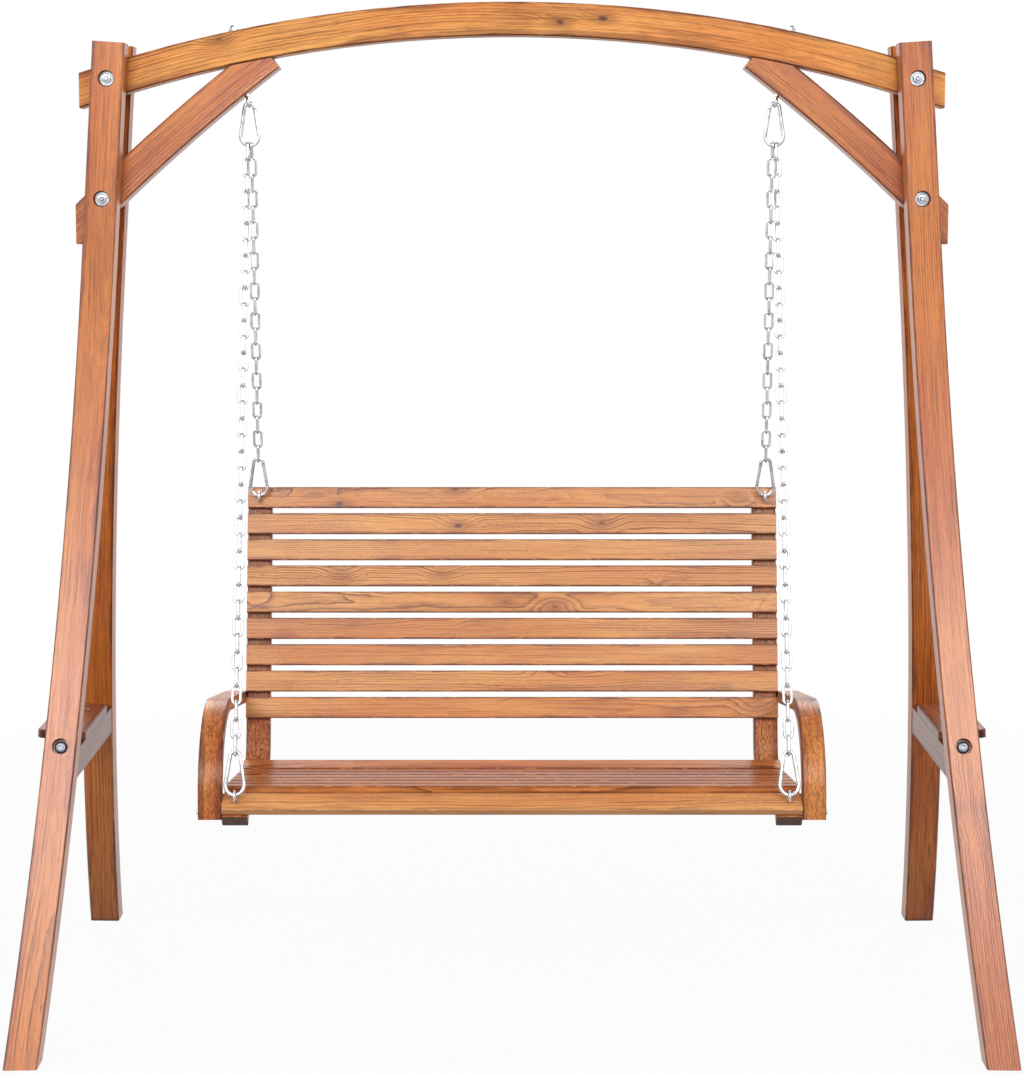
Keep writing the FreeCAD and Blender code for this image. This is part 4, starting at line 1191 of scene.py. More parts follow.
@dataclass
class Stand:
    """Four legs, arched beam, braces and spreaders, in metres and degrees.

    A bend is a radius and a turn. A half is half of a piece's size across its fibres, in the plane
    of its bend and square to it.
    """

    lean: float = 3.9
    top_spread: float = 0.768
    leg_height: float = 1.870
    leg_bend_height: float = 1.462
    leg_bend: Pair = (2.600, 50.0)
    leg_line: float = 0.057
    leg_half: Pair = (0.026, 0.031)
    beam_top: float = 1.949
    beam_outer_radius: float = 2.650
    beam_radius: float = 2.618
    beam_half: Pair = (0.032, 0.031)
    brace_bend: Pair = (3.531, -12.0)
    brace_centre: Pair = (-1.6583, -0.9713)
    brace_slope: float = 37.0
    brace_half: Pair = (0.031, 0.031)
    rail_half: Pair = (0.030, 0.030)
    board_half: Pair = (0.0085, 0.0465)

    @property
    def beam_centre_z(self) -> float:
        """Height of the centre of the arch."""
        return self.beam_top - self.beam_outer_radius

    def side_frame(self, side: Side) -> tuple[Vector, Vector]:
        """Find the plane of one leaning side.

        Args:
            side: The side.

        Returns:
            The point on the floor in its middle, and the direction up its legs.
        """
        lean = math.radians(self.lean)
        spread = self.top_spread + self.leg_height * math.tan(lean)
        up = Vector((-side.value * math.sin(lean), 0.0, math.cos(lean)))
        return Vector((side.value * spread, 0.0, 0.0)), up

    def dress_legs(self) -> None:
        """Let the grain run down the straight top and round the bend of each leg."""
        slant = math.cos(math.radians(self.lean))
        top = self.leg_height / slant
        run = top - self.leg_bend_height / slant
        for number, (row, side) in enumerate(product(Row, Side), start=FirstBoard.LEG):
            floor, up = self.side_frame(side)
            line = FibreLine(floor, Y_AXIS * row.value, up, (self.leg_line, top), -math.pi / 2)
            line.straight(run).bend(*self.leg_bend)
            name = "leg_%s_%s" % (row.word, side.word)
            # The rear legs take the darker copy of the stain, painted shade.
            timber = HONEY if row is Row.FRONT else HONEY_REAR_SHADED
            dress(name, timber.make("timber_" + name, line, self.leg_half, number))

    def dress_beam(self) -> None:
        """Let the grain follow the arch."""
        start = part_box("arch_beam")[0].x
        tilt = math.asin(-start / self.beam_radius)
        begin = (start, self.beam_centre_z + self.beam_radius * math.cos(tilt))
        line = FibreLine(Vector(), X_AXIS, Z_AXIS, begin, tilt)
        line.bend(self.beam_radius, -math.degrees(2 * tilt))
        dress("arch_beam", HONEY_BEAM.make("timber_arch_beam", line, self.beam_half, FirstBoard.BEAM))

    def dress_braces(self) -> None:
        """Let the grain follow each knee brace."""
        slope = math.radians(self.brace_slope)
        radius = self.brace_bend[0]
        begin = (self.brace_centre[0] + radius * math.sin(slope),
                 self.brace_centre[1] + radius * math.cos(slope))
        for number, side in enumerate(Side, start=FirstBoard.BRACE):
            line = FibreLine(Vector(), X_AXIS * side.value, Z_AXIS, begin, -slope).bend(*self.brace_bend)
            name = "brace_" + side.word
            dress(name, HONEY.make("timber_" + name, line, self.brace_half, number))

    def dress_spreaders(self) -> None:
        """Let the grain run from front to back in the rails and boards."""
        kinds = (("rail", self.rail_half, FirstBoard.RAIL), ("board", self.board_half, FirstBoard.BOARD))
        for index, side in enumerate(Side):
            _, up = self.side_frame(side)
            for kind, half, first in kinds:
                name = "spreader_%s_%s" % (kind, side.word)
                line = FibreLine(node_centre(name), Y_AXIS, up).straight()
                dress(name, BOARD_BROWN.make("timber_" + name, line, half, first + index))

    def build(self) -> None:
        """Dress the whole stand."""
        self.dress_legs()
        self.dress_beam()
        self.dress_braces()
        self.dress_spreaders()


@dataclass(frozen=True)
class Strip:
    """Course of a bent strip of the bench, in metres and degrees.

    It starts on the strip's outer face. A bend is a radius and a turn. The half is half of the
    strip's size across its fibres, in the plane of its bends and square to it.
    """

    start: Pair
    heading: float
    runs: tuple[float, ...]
    bends: tuple[Pair, ...]
    half: Pair

    def line(self, node: str) -> FibreLine:
        """Draw the line that the strip's fibres follow.

        Args:
            node: The strip's name.

        Returns:
            The line in the middle of the strip.
        """
        angle = math.radians(self.heading)
        begin = (self.start[0] + self.half[0] * math.sin(angle),
                 self.start[1] - self.half[0] * math.cos(angle))
        origin = Vector((node_centre(node).x, 0.0, 0.0))
        return FibreLine(origin, Y_AXIS, Z_AXIS, begin, angle).trace(self.runs, self.bends)


@dataclass
class Bench:
    """Bent frames, arms and slats, in metres and degrees."""

    seat_slopes: tuple[float, ...] = (36.0, -6.5, -6.5, -6.5, -6.5, -6.5, -6.5, 12.0)
    back_slopes: tuple[float, ...] = 9 * (77.25,)
    slat_half: Pair = (0.0215, 0.0075)
    bent_frame: Strip = Strip((-0.3535, 0.4271), 36.0, (0.044, 0.322, 0.047, 0.60),
                              ((0.018, -42.5), (0.042, 18.5), (0.062, 65.25)), (0.012, 0.0245))
    arm: Strip = Strip((-0.3475, 0.420), 90.0, (0.024, 0.40), ((0.161, -97.9),), (0.012, 0.0225))

    @property
    def eye_slats(self) -> tuple[str, str]:
        """Names of the front slat and the top slat, which the eye bolts pass through."""
        return "seat_slat_1", "back_slat_%d" % len(self.back_slopes)

    def slopes(self) -> dict[str, float]:
        """Slope of every slat by its name."""
        rows = (("seat_slat_%d", self.seat_slopes), ("back_slat_%d", self.back_slopes))
        return {name % number: slope for name, row in rows for number, slope in enumerate(row, start=1)}

    def dress_slats(self) -> None:
        """Give every slat its own board of timber."""
        front, _ = self.eye_slats
        for number, (name, slope) in enumerate(self.slopes().items(), start=FirstBoard.SLAT):
            finish = SEAT_BROWN if name.startswith("seat") else SLAT_HONEY
            if name == front:
                finish = FRONT_HONEY
            angle = math.radians(slope)
            upward = Vector((0.0, math.cos(angle), math.sin(angle)))
            line = FibreLine(node_centre(name), X_AXIS, upward).straight()
            dress(name, finish.make("timber_" + name, line, self.slat_half, number))

    def dress_strips(self) -> None:
        """Let the grain follow the bends of the frames and the arms."""
        kinds = (("bent_frame_", self.bent_frame, BENT_RED, FirstBoard.FRAME),
                 ("arm_", self.arm, ARM_AMBER, FirstBoard.ARM))
        for kind, strip, finish, first in kinds:
            for number, side in enumerate(Side, start=first):
                name = kind + side.word
                dress(name, finish.make("timber_" + name, strip.line(name), strip.half, number))

    def build(self) -> None:
        """Dress the whole bench."""
        self.dress_slats()
        self.dress_strips()


@dataclass
class HangingGear:
    """Chains, hooks and gates."""

    places: tuple[str, ...] = ("top", "front", "rear")

    def build(self) -> None:
        """Dress all the bright steel."""
        metal = ZINC_BRIGHT.make("zinc_chain")
        for side in Side:
            for place in self.places:
                dress("hook_%s_%s" % (place, side.word), metal)
                dress("gate_%s_%s" % (place, side.word), metal)
            for row in Row:
                dress("chain_%s_%s" % (row.word, side.word), metal)


def pick(*pieces: bpy.types.Object) -> None:
    """Leave only these pieces selected, the first of them active.

    Args:
        pieces: The pieces; with none, everything is deselected.
    """
    bpy.ops.object.select_all(action="DESELECT")
    for piece in pieces:
        piece.select_set(True)
    if pieces:
        bpy.context.view_layer.objects.active = pieces[0]


def settled(name: str) -> bpy.types.Object:
    """Name the piece just added and put its place and turn into its mesh.

    Args:
        name: The piece's name.

    Returns:
        The piece.
    """
    bpy.ops.object.transform_apply(location=True, rotation=True, scale=True)
    piece = bpy.context.object
    piece.name = name
    return piece


def turned(name: str, profile: Sequence[Pair], facets: Facets) -> bpy.types.Object:
    """Turn a piece on the lathe: draw half of its outline and spin it about Z.

    Args:
        name: The piece's name.
        profile: Radius and height of each point of the outline.
        facets: Flats round the piece.

    Returns:
        The closed piece.
    """
    speck, weld = 0.001, 2e-6
    pick()
    bpy.ops.mesh.primitive_plane_add(size=speck)
    piece = bpy.context.object
    piece.name = name
    bpy.ops.object.mode_set(mode="EDIT")
    bpy.ops.mesh.select_all(action="SELECT")
    bpy.ops.mesh.merge(type="CENTER")
    bpy.ops.transform.translate(value=(profile[0][0], 0.0, profile[0][1]))
    for (radius, height), (next_radius, next_height) in zip(profile, profile[1:]):
        step = (next_radius - radius, 0.0, next_height - height)
        bpy.ops.mesh.extrude_region_move(TRANSFORM_OT_translate={"value": step})
    bpy.ops.mesh.select_all(action="SELECT")
    bpy.ops.mesh.spin(steps=int(facets), angle=2 * math.pi, center=(0.0, 0.0, 0.0), axis=(0.0, 0.0, 1.0))
    bpy.ops.mesh.select_all(action="SELECT")
    bpy.ops.mesh.remove_doubles(threshold=weld)
    bpy.ops.mesh.normals_make_consistent(inside=False)
    bpy.ops.object.mode_set(mode="OBJECT")
    return piece


def carve(piece: bpy.types.Object, tool: bpy.types.Object, cut: Cut) -> bpy.types.Object:
    """Shape a piece with another one, which is used up.

    Args:
        piece: The piece.
        tool: The other piece.
        cut: How it shapes the piece.

    Returns:
        The shaped piece.
    """
    pick(piece)
    bpy.ops.object.modifier_add(type="BOOLEAN")
    step = piece.modifiers[-1]
    step.operation = cut.value
    step.solver = "EXACT"
    step.object = tool
    bpy.ops.object.modifier_apply(modifier=step.name)
    pick(tool)
    bpy.ops.object.delete()
    return piece


def hexagon(name: str, radius: float, low: float, high: float) -> bpy.types.Object:
    """Cut a six-sided bar.

    Args:
        name: The bar's name.
        radius: Radius to its corners.
        low: Height of its lower end.
        high: Height of its upper end.

    Returns:
        The bar, upright about Z.
    """
    pick()
    bpy.ops.mesh.primitive_cylinder_add(vertices=6, radius=radius, depth=high - low,
                                        location=(0.0, 0.0, (low + high) / 2))
    return settled(name)


@dataclass(frozen=True)
class Spot:
    """Seat of a fixing: its place and the direction of its own upward axis."""

    place: Vector
    axis: Vector

    def turn(self) -> Quaternion:
        """Find the turn to this axis that keeps the fixing's own X as level as it can.

        Returns:
            The turn.
        """
        sideways = 0.9
        level = X_AXIS if abs(self.axis.x) < sideways else Y_AXIS
        side = self.axis.cross(level).normalized()
        return Matrix((side.cross(self.axis), side, self.axis)).transposed().to_quaternion()


def repeat(name: str, model: bpy.types.Object, spots: Sequence[Spot]) -> bpy.types.Object:
    """Set a copy of a model on each spot, each with a mesh of its own, and gather them as one set.

    Args:
        name: The set's name.
        model: The modelled fixing, at the origin; it is used up.
        spots: Where the copies go.

    Returns:
        The set, with its place in its mesh.
    """
    smooth_angle = math.radians(32.0)
    copies = []
    for spot in spots:
        pick(model)
        bpy.ops.object.duplicate(linked=False)
        copy = bpy.context.object
        copy.rotation_mode = "QUATERNION"
        copy.location = spot.place
        copy.rotation_quaternion = spot.turn()
        bpy.ops.object.transform_apply(location=True, rotation=True, scale=True)
        copies.append(copy)
    pick(model)
    bpy.ops.object.delete()
    pick(*copies)
    bpy.ops.object.join()
    gathered = bpy.context.object
    gathered.name = name
    gathered.rotation_mode = "XYZ"
    bpy.ops.object.shade_smooth_by_angle(angle=smooth_angle)
    return gathered


@dataclass(frozen=True)
class Metals:
    """Materials of the fixings; the sunk one is a darker copy of the plated steel that paints the shade of
    the recesses.
    """

    plain: bpy.types.Material
    eyes: bpy.types.Material
    sunk_shaded: bpy.types.Material


@dataclass
class Fixings:
    """Bolts, nuts, washers, eyes and screws, with their threads, bevels and recesses.

    Sizes are in metres and angles in degrees. A head is its radius and its height, and a dome is
    its outline in shares of both. A collar is in shares of the shank's radius and in heights.
    """

    bolt_radius: float = 0.004
    bolt_seat: float = 0.070
    bolt_root: float = 0.002
    bolt_end: float = 0.004
    bolt_thread: float = 0.029
    top_bolts: tuple[Pair, ...] = ((0.774, 1.801), (0.787, 1.573))
    hex_radius: float = 0.0086
    head_height: float = 0.0053
    crown_wide: float = 1.02
    crown_face: float = 0.97
    crown_slope: float = 30.0
    nut_height: float = 0.0065
    nut_play: float = 0.00005
    nut_ease: float = 0.0007
    washer_radius: float = 0.0135
    washer_thickness: float = 0.002
    washer_play: float = 0.0001
    washer_ease: float = 0.0003
    beam_gap: float = 0.00005
    spare: float = 0.001
    thread_pitch: float = 0.00125
    thread_depth: float = 0.0006
    thread_rest: float = 0.0004
    thread_bevel: float = 1.4
    thread_run_out: float = 0.001
    socket_head: Pair = (0.012, 0.0065)
    socket_dome: tuple[Pair, ...] = (
        (0.0, 1.0), (0.44, 1.0), (0.66, 0.93), (0.84, 0.76), (0.96, 0.48), (1.0, 0.20))
    socket_rim: float = 0.0006
    socket_foot: float = 0.96
    socket_radius: float = 0.0046
    socket_depth: float = 0.004
    socket_length: float = 0.099
    socket_thread: float = 0.039
    socket_angle: float = 21.0228
    socket_seat: Pair = (0.242196, 0.537336)
    eye_ring: Pair = (0.00925, 0.00275)
    eye_facets: tuple[int, int] = (40, 16)
    eye_collar: tuple[Pair, ...] = ((0.0, -0.0010), (0.8, -0.0010), (1.04, 0.0016), (1.0, 0.0030))
    eye_thread: float = 0.023
    eye_stand_off: float = 0.014
    top_eye_angle: float = 11.73
    top_eye_reach: float = 2.512911
    top_eye_length: float = 0.149589
    bench_eye_length: float = 0.0655
    strip_thickness: float = 0.024
    slat_thickness: float = 0.015
    frame_centre: float = 0.5185
    screw_dome: tuple[Pair, ...] = (
        (0.0, 1.0), (0.40, 0.98), (0.75, 0.80), (0.96, 0.40), (1.0, 0.08), (0.97, 0.0))
    screw_recess: Place = (1.15, 0.24, 1.1)
    screw_point: float = 3.0
    screw_head: Pair = (0.004, 0.0024)
    screw_radius: float = 0.002
    slat_screw_length: float = 0.034
    board_screw_length: float = 0.0346
    board_screw_spread: float = 0.0876
    board_top: float = 0.550
    arm_screw_head: Pair = (0.006, 0.0036)
    arm_screw_radius: float = 0.003
    arm_screw_length: float = 0.061
    arm_outside: float = 0.588
    arm_screw_spots: tuple[Pair, ...] = ((0.148545, 0.561716), (-0.334436, 0.432051))

    def thread(self, start: float, end: float) -> list[Pair]:
        """Draw a thread with a bevelled end.

        Args:
            start: Height where it starts.
            end: Height where it ends.

        Returns:
            Radius and height of each point of its outline.
        """
        root = self.bolt_radius - self.thread_depth
        points = []
        height = start
        while height + self.thread_pitch <= end - self.thread_rest:
            points += [(root, height), (self.bolt_radius, height + self.thread_pitch / 2)]
            height += self.thread_pitch
        bevel = self.bolt_radius - self.thread_depth * self.thread_bevel
        return points + [(root, height), (bevel, end)]

    def shank_end(self, length: float, run: float) -> list[Pair]:
        """Outline of the last run of a shank, from the plain part over the thread to the tip."""
        start = length - run
        return [(self.bolt_radius, start - self.thread_run_out), *self.thread(start, length), (0.0, length)]

    def hex_blank(self, name: str, low: float, high: float, bevel_high: bool) -> bpy.types.Object:
        """Cut a hexagon whose corners are turned down at its open ends.

        Args:
            name: The piece's name.
            low: Height of its lower end, which is open.
            high: Height of its upper end.
            bevel_high: Whether the upper end is open too.

        Returns:
            The hexagon.
        """
        wide = self.hex_radius * self.crown_wide
        face = self.hex_radius * math.cos(math.pi / 6) * self.crown_face
        drop = (wide - face) * math.tan(math.radians(self.crown_slope))
        outline = [(0.0, low), (face, low), (wide, low + drop)]
        outline += [(wide, high - drop), (face, high)] if bevel_high else [(wide, high)]
        outline.append((0.0, high))
        bar = hexagon(name, self.hex_radius, low - self.spare, high + self.spare)
        return carve(bar, turned(name + "_crown", outline, Facets.RIM), Cut.TRIM)

    def nut(self, name: str) -> bpy.types.Object:
        """Make a nut with turned-down corners and an eased bore.

        Args:
            name: The piece's name.

        Returns:
            The nut, with its lower face at the origin.
        """
        bore, ease = self.bolt_radius + self.nut_play, self.nut_ease
        mouth, top = bore + 2 * ease, self.nut_height
        outline = [(0.0, -self.spare), (mouth, -self.spare), (bore, ease), (bore, top - ease),
                   (mouth, top + self.spare), (0.0, top + self.spare)]
        blank = self.hex_blank(name, 0.0, top, True)
        return carve(blank, turned(name + "_bore", outline, Facets.BORE), Cut.HOLLOW)

    def washer(self, name: str) -> bpy.types.Object:
        """Make a flat ring with eased rims.

        Args:
            name: The piece's name.

        Returns:
            The washer, with its lower face at the origin.
        """
        inner, outer = self.bolt_radius + self.washer_play, self.washer_radius
        thick, ease = self.washer_thickness, self.washer_ease
        outline = [(inner, 0.0), (outer - ease, 0.0), (outer, ease), (outer, thick - ease),
                   (outer - ease, thick), (inner + ease, thick), (inner, thick - ease), (inner, 0.0)]
        return turned(name, outline, Facets.RIM)

    def through_bolt(self, name: str) -> bpy.types.Object:
        """Make a hex bolt.

        Args:
            name: The piece's name.

        Returns:
            The bolt; its axis runs from the head to the threaded end.
        """
        length = 2 * (self.bolt_seat + self.washer_thickness) + self.nut_height + self.bolt_end
        outline = [(0.0, -self.bolt_root), (self.bolt_radius, -self.bolt_root)]
        outline += self.shank_end(length, self.bolt_thread)
        head = self.hex_blank(name, -self.head_height, 0.0, False)
        return carve(head, turned(name + "_shank", outline, Facets.SHANK), Cut.WELD)

    @staticmethod
    def dome(head: Pair, shares: Sequence[Pair]) -> list[Pair]:
        """Outline of a domed head whose foot is at the origin."""
        return [(head[0] * out, -head[1] * up) for out, up in shares]

    def socket_bolt(self, name: str) -> bpy.types.Object:
        """Make a domed bolt with a hexagonal socket.

        Args:
            name: The piece's name.

        Returns:
            The bolt; its axis runs from the head into the rail.
        """
        wide, high = self.socket_head
        outline = self.dome(self.socket_head, self.socket_dome)
        outline += [(wide, -self.socket_rim), (wide * self.socket_foot, 0.0), (self.bolt_radius, 0.0)]
        outline += self.shank_end(self.socket_length, self.socket_thread)
        bolt = turned(name, outline, Facets.HEAD)
        socket = hexagon(name + "_socket", self.socket_radius, -high - self.spare,
                         -high + self.socket_depth)
        return carve(bolt, socket, Cut.HOLLOW)

    def eye(self, name: str, length: float) -> bpy.types.Object:
        """Make a welded ring on a threaded shank.

        Args:
            name: The piece's name.
            length: Length from the ring's centre to the tip.

        Returns:
            The eye; the ring's centre is at the origin.
        """
        start, thickness = self.eye_ring
        around, across = self.eye_facets
        pick()
        bpy.ops.mesh.primitive_torus_add(major_radius=start, minor_radius=thickness, major_segments=around,
                                         minor_segments=across, rotation=(0.0, math.pi / 2, 0.0))
        ring = settled(name)
        outline = [(self.bolt_radius * share, start + rise) for share, rise in self.eye_collar]
        outline += self.shank_end(length, self.eye_thread)
        return carve(ring, turned(name + "_shank", outline, Facets.SHANK), Cut.WELD)

    def screw(self, name: str, head: Pair, radius: float, length: float) -> bpy.types.Object:
        """Make a round-headed wood screw with a cross recess.

        Args:
            name: The piece's name.
            head: Radius and height of the head.
            radius: Radius of the shank.
            length: Length from under the head to the point.

        Returns:
            The screw; its axis runs from the head to the point.
        """
        wide, high = head
        long_share, broad_share, deep_share = self.screw_recess
        outline = self.dome(head, self.screw_dome)
        outline += [(radius, 0.0), (radius, length - self.screw_point * radius), (0.0, length)]
        piece = turned(name, outline, Facets.SHANK)
        for turn in (0.0, math.pi / 2):
            pick()
            bpy.ops.mesh.primitive_cube_add(
                size=1.0, location=(0.0, 0.0, -high), rotation=(0.0, 0.0, turn),
                scale=(wide * long_share, wide * broad_share, high * deep_share))
            piece = carve(piece, settled(name + "_recess"), Cut.HOLLOW)
        return piece

    def slat_spot(self, slat: str, slope: float, side: Side, height: float, outward: bool) -> Spot:
        """Find a spot on a slat's screw line.

        Args:
            slat: The slat's name.
            slope: Its slope.
            side: The side of the bench.
            height: Height over the face of the bent frame.
            outward: Whether the fixing points away from the frame.

        Returns:
            The spot.
        """
        angle = math.radians(slope)
        away = Vector((0.0, -math.sin(angle), math.cos(angle)))
        middle = node_centre(slat)
        middle.x = side.value * self.frame_centre
        return Spot(middle + away * (height - self.slat_thickness / 2), away if outward else -away)

    def fit(self, name: str, model: bpy.types.Object, spots: Sequence[Spot], node: str, body: str,
            material: bpy.types.Material) -> None:
        """Set copies of a fixing on their spots, in place of their solids.

        Args:
            name: Name of the set.
            model: The modelled fixing; it is used up.
            spots: Where the copies go.
            node: The solids that the set stands for.
            body: The body that it rides on.
            material: Its finish.
        """
        piece = repeat(name, model, spots)
        piece.data.materials.clear()
        piece.data.materials.append(material)
        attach(piece, body)
        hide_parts(node)
        LOG.info("made %s, %d faces", piece.name, len(piece.data.polygons))

    def top_eye_axis(self, side: Side) -> Vector:
        """Direction of a top eye bolt, square to the beam."""
        angle = math.radians(self.top_eye_angle)
        return Vector((side.value * math.sin(angle), 0.0, math.cos(angle)))

    def bolt_spots(self, stand: Stand) -> tuple[list[Spot], list[Spot], list[Spot]]:
        """Find the seats of the bolts through legs, beam and braces, and of the top eyes' nuts.

        Args:
            stand: The stand.

        Returns:
            Spots of bolts, washers and nuts.
        """
        bolts, washers, nuts = [], [], []
        lift = self.washer_thickness
        for (spread, height), side in product(self.top_bolts, Side):
            rear = Vector((side.value * spread, self.bolt_seat, height))
            front = Vector((side.value * spread, -self.bolt_seat, height))
            bolts.append(Spot(rear + Y_AXIS * lift, -Y_AXIS))
            washers += [Spot(rear, Y_AXIS), Spot(front, -Y_AXIS)]
            nuts.append(Spot(front - Y_AXIS * lift, -Y_AXIS))
        for side in Side:
            axis = self.top_eye_axis(side)
            top = Vector((0.0, 0.0, stand.beam_centre_z)) + axis * (stand.beam_outer_radius + self.beam_gap)
            washers.append(Spot(top, axis))
            nuts.append(Spot(top + axis * lift, axis))
        return bolts, washers, nuts

    def spreader_spots(self, stand: Stand) -> tuple[list[Spot], list[Spot]]:
        """Find the seats of the bolts and screws at the spreaders.

        Args:
            stand: The stand.

        Returns:
            Spots of socket bolts and board screws.
        """
        sockets, screws = [], []
        angle = math.radians(self.socket_angle)
        screw_seat = self.board_top - self.screw_head[1]
        for side, row in product(Side, Row):
            floor, up = stand.side_frame(side)
            place = floor + Y_AXIS * (row.value * self.socket_seat[0]) + up * self.socket_seat[1]
            outward = Y_AXIS * (row.value * math.cos(angle)) + up * math.sin(angle)
            sockets.append(Spot(place, -outward))
            place = floor + Y_AXIS * (row.value * self.board_screw_spread) + up * screw_seat
            screws.append(Spot(place, -up))
        return sockets, screws

    def build_stand(self, stand: Stand, metals: Metals) -> None:
        """Make the fixings of the stand.

        Args:
            stand: The stand.
            metals: Their materials.
        """
        bolts, washers, nuts = self.bolt_spots(stand)
        sockets, screws = self.spreader_spots(stand)
        centre = Vector((0.0, 0.0, stand.beam_centre_z))
        axes = [self.top_eye_axis(side) for side in Side]
        eyes = [Spot(centre + axis * self.top_eye_reach, axis) for axis in axes]
        model = self.through_bolt("through_bolt")
        self.fit("through_bolts", model, bolts, "top_bolts", "stand", metals.plain)
        model = self.washer("flat_washer")
        self.fit("flat_washers", model, washers, "stand_washers", "stand", metals.plain)
        model = self.nut("hex_nut")
        self.fit("hex_nuts", model, nuts, "stand_nuts", "stand", metals.plain)
        model = self.socket_bolt("socket_bolt")
        # The socket bolts take the darker steel, painted shade of their recesses.
        self.fit("socket_bolts", model, sockets, "spreader_bolts", "stand", metals.sunk_shaded)
        model = self.eye("beam_eye", self.top_eye_length)
        self.fit("beam_eyes", model, eyes, "top_eye_bolts", "stand", metals.eyes)
        model = self.screw("board_screw", self.screw_head, self.screw_radius, self.board_screw_length)
        self.fit("board_fixings", model, screws, "board_screws", "stand", metals.plain)

    def build_bench(self, bench: Bench, metals: Metals) -> None:
        """Make the fixings of the bench.

        Args:
            bench: The bench.
            metals: Their materials.
        """
        eyes, washers, nuts, screws, arm_screws = [], [], [], [], []
        front, behind = self.slat_thickness + self.eye_stand_off, -self.strip_thickness
        for side in Side:
            for slat, slope in bench.slopes().items():
                if slat in bench.eye_slats:
                    eyes.append(self.slat_spot(slat, slope, side, front, False))
                    washers.append(self.slat_spot(slat, slope, side, behind, False))
                    nuts.append(self.slat_spot(slat, slope, side, behind - self.washer_thickness, False))
                else:
                    screws.append(self.slat_spot(slat, slope, side, behind, True))
            for y, z in self.arm_screw_spots:
                arm_screws.append(Spot(Vector((side.value * self.arm_outside, y, z)), X_AXIS * -side.value))
        model = self.eye("bench_eye", self.bench_eye_length)
        self.fit("bench_eyes", model, eyes, "bench_eye_bolts", "bench", metals.eyes)
        model = self.washer("eye_washer")
        self.fit("eye_washers", model, washers, "bench_washers", "bench", metals.plain)
        model = self.nut("eye_nut")
        self.fit("eye_nuts", model, nuts, "bench_nuts", "bench", metals.plain)
        model = self.screw("slat_screw", self.screw_head, self.screw_radius, self.slat_screw_length)
        self.fit("slat_fixings", model, screws, "slat_screws", "bench", metals.plain)
        model = self.screw("arm_screw", self.arm_screw_head, self.arm_screw_radius, self.arm_screw_length)
        self.fit("arm_fixings", model, arm_screws, "arm_screws", "bench", metals.plain)

    def build(self, stand: Stand, bench: Bench) -> None:
        """Make all the fixings.

        Args:
            stand: The stand.
            bench: The bench.
        """
        metals = Metals(ZINC_DULL.make("zinc_fasteners"), ZINC_EYE.make("zinc_eyes"),
                        ZINC_SUNK_SHADED.make("zinc_sunk_shaded"))
        dress("spreader_barrel_nuts", metals.plain)
        self.build_stand(stand, metals)
        self.build_bench(bench, metals)


@dataclass(frozen=True)
class Lamp:
    """Square soft lamp that points at a spot, in metres and watts."""

    name: str
    place: Place
    aim: Place
    size: float
    power: float

    def hang(self) -> None:
        """Hang the lamp."""
        pick()
        bpy.ops.object.light_add(type="AREA", location=self.place)
        lamp = bpy.context.object
        lamp.name = self.name
        lamp.data.shape = "SQUARE"
        lamp.data.size = self.size
        lamp.data.energy = self.power
        lamp.rotation_mode = "QUATERNION"
        lamp.rotation_quaternion = (Vector(self.aim) - Vector(self.place)).to_track_quat("-Z", "Y")


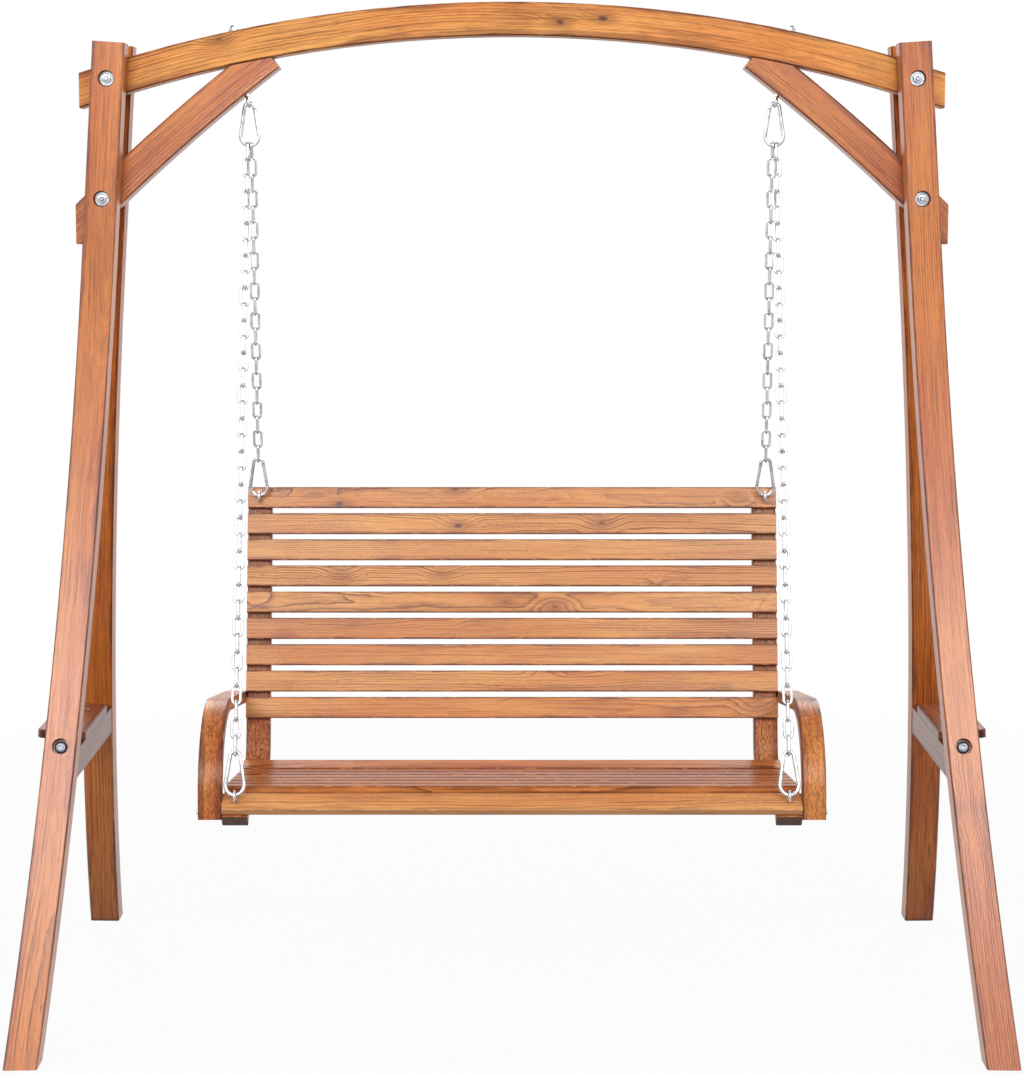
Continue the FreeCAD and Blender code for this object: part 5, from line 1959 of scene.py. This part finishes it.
@dataclass
class Studio:
    """Pale floor, soft lamps and the camera."""

    floor_size: float = 60.0
    floor_tone: Tone = (0.35, 0.35, 0.35, 1.0)
    near_glow: float = 0.96
    glow_start: float = 1.2
    glow_end: float = 4.0
    soft_light: float = 0.14
    white_light: float = 1.0
    lamps: tuple[Lamp, ...] = (
        Lamp("lamp_key_left", (-2.3, -6.4, 4.2), (0.0, 0.0, 0.8), 2.4, 174.0),
        Lamp("lamp_key_right", (2.3, -6.4, 4.2), (0.0, 0.0, 0.8), 2.4, 162.0),
        Lamp("lamp_side_left", (-4.4, -2.4, 3.4), (0.0, 0.0, 0.9), 2.6, 90.0),
        Lamp("lamp_side_right", (4.4, -2.4, 3.4), (0.0, 0.0, 0.9), 2.6, 86.0),
        Lamp("lamp_back_left", (-2.0, 4.0, 3.6), (0.0, 0.0, 0.9), 2.4, 72.0),
        Lamp("lamp_back_right", (2.0, 4.0, 3.6), (0.0, 0.0, 0.9), 2.4, 68.0))
    camera_place: Place = (0.0, -5.2, 1.5588)
    camera_pitch: float = 0.1241
    focal_pixels: float = 2649.5
    image_height: float = 1074.0
    sensor: float = 36.0

    def build_floor(self) -> None:
        """Lay a pale floor that keeps a faint shadow."""
        pick()
        bpy.ops.mesh.primitive_plane_add(size=self.floor_size)
        floor = bpy.context.object
        floor.name = "studio_floor"
        graph = Graph.of_material("studio_pale")
        matt = graph.node("BsdfDiffuse")
        matt.inputs["Color"].default_value = self.floor_tone
        away = graph.vector_math("LENGTH", graph.place())
        share = graph.fade(away, self.glow_start, self.glow_end, self.near_glow)
        glow = graph.node("Emission")
        mixed = graph.mix_shader(graph.times(graph.seen(), share), matt.outputs[0], glow.outputs[0])
        floor.data.materials.append(graph.finish(mixed))

    def build_world(self) -> None:
        """Make white surroundings for the camera and for reflections, and soft light for the rest."""
        graph = Graph(bpy.data.worlds.new("studio_white"))
        soft, white = graph.node("Background"), graph.node("Background")
        for light, strength in ((soft, self.soft_light), (white, self.white_light)):
            light.inputs["Color"].default_value = WHITE
            light.inputs["Strength"].default_value = strength
        mixed = graph.mix_shader(graph.seen(), soft.outputs[0], white.outputs[0])
        bpy.context.scene.world = graph.finish(mixed)

    def build_camera(self) -> None:
        """Stand the camera where the photograph was taken from."""
        pick()
        bpy.ops.object.camera_add(location=self.camera_place,
                                  rotation=(math.pi / 2 - self.camera_pitch, 0.0, 0.0))
        camera = bpy.context.object
        camera.name = "studio_camera"
        camera.data.sensor_width = self.sensor
        camera.data.lens = self.focal_pixels / self.image_height * self.sensor
        bpy.context.scene.camera = camera

    def build(self) -> None:
        """Set up floor, light and camera."""
        bpy.context.scene.view_settings.view_transform = "Standard"
        self.build_floor()
        self.build_world()
        for lamp in self.lamps:
            lamp.hang()
        self.build_camera()
        LOG.info("studio set up")


def main() -> None:
    """Dress the frame and build the studio."""
    logging.basicConfig(level=logging.INFO, format="%(message)s")
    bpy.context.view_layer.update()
    stand, bench = Stand(), Bench()
    stand.build()
    bench.build()
    HangingGear().build()
    Fixings().build(stand, bench)
    Studio().build()
    LOG.info("sizes written")


if __name__ == "__main__":
    main()
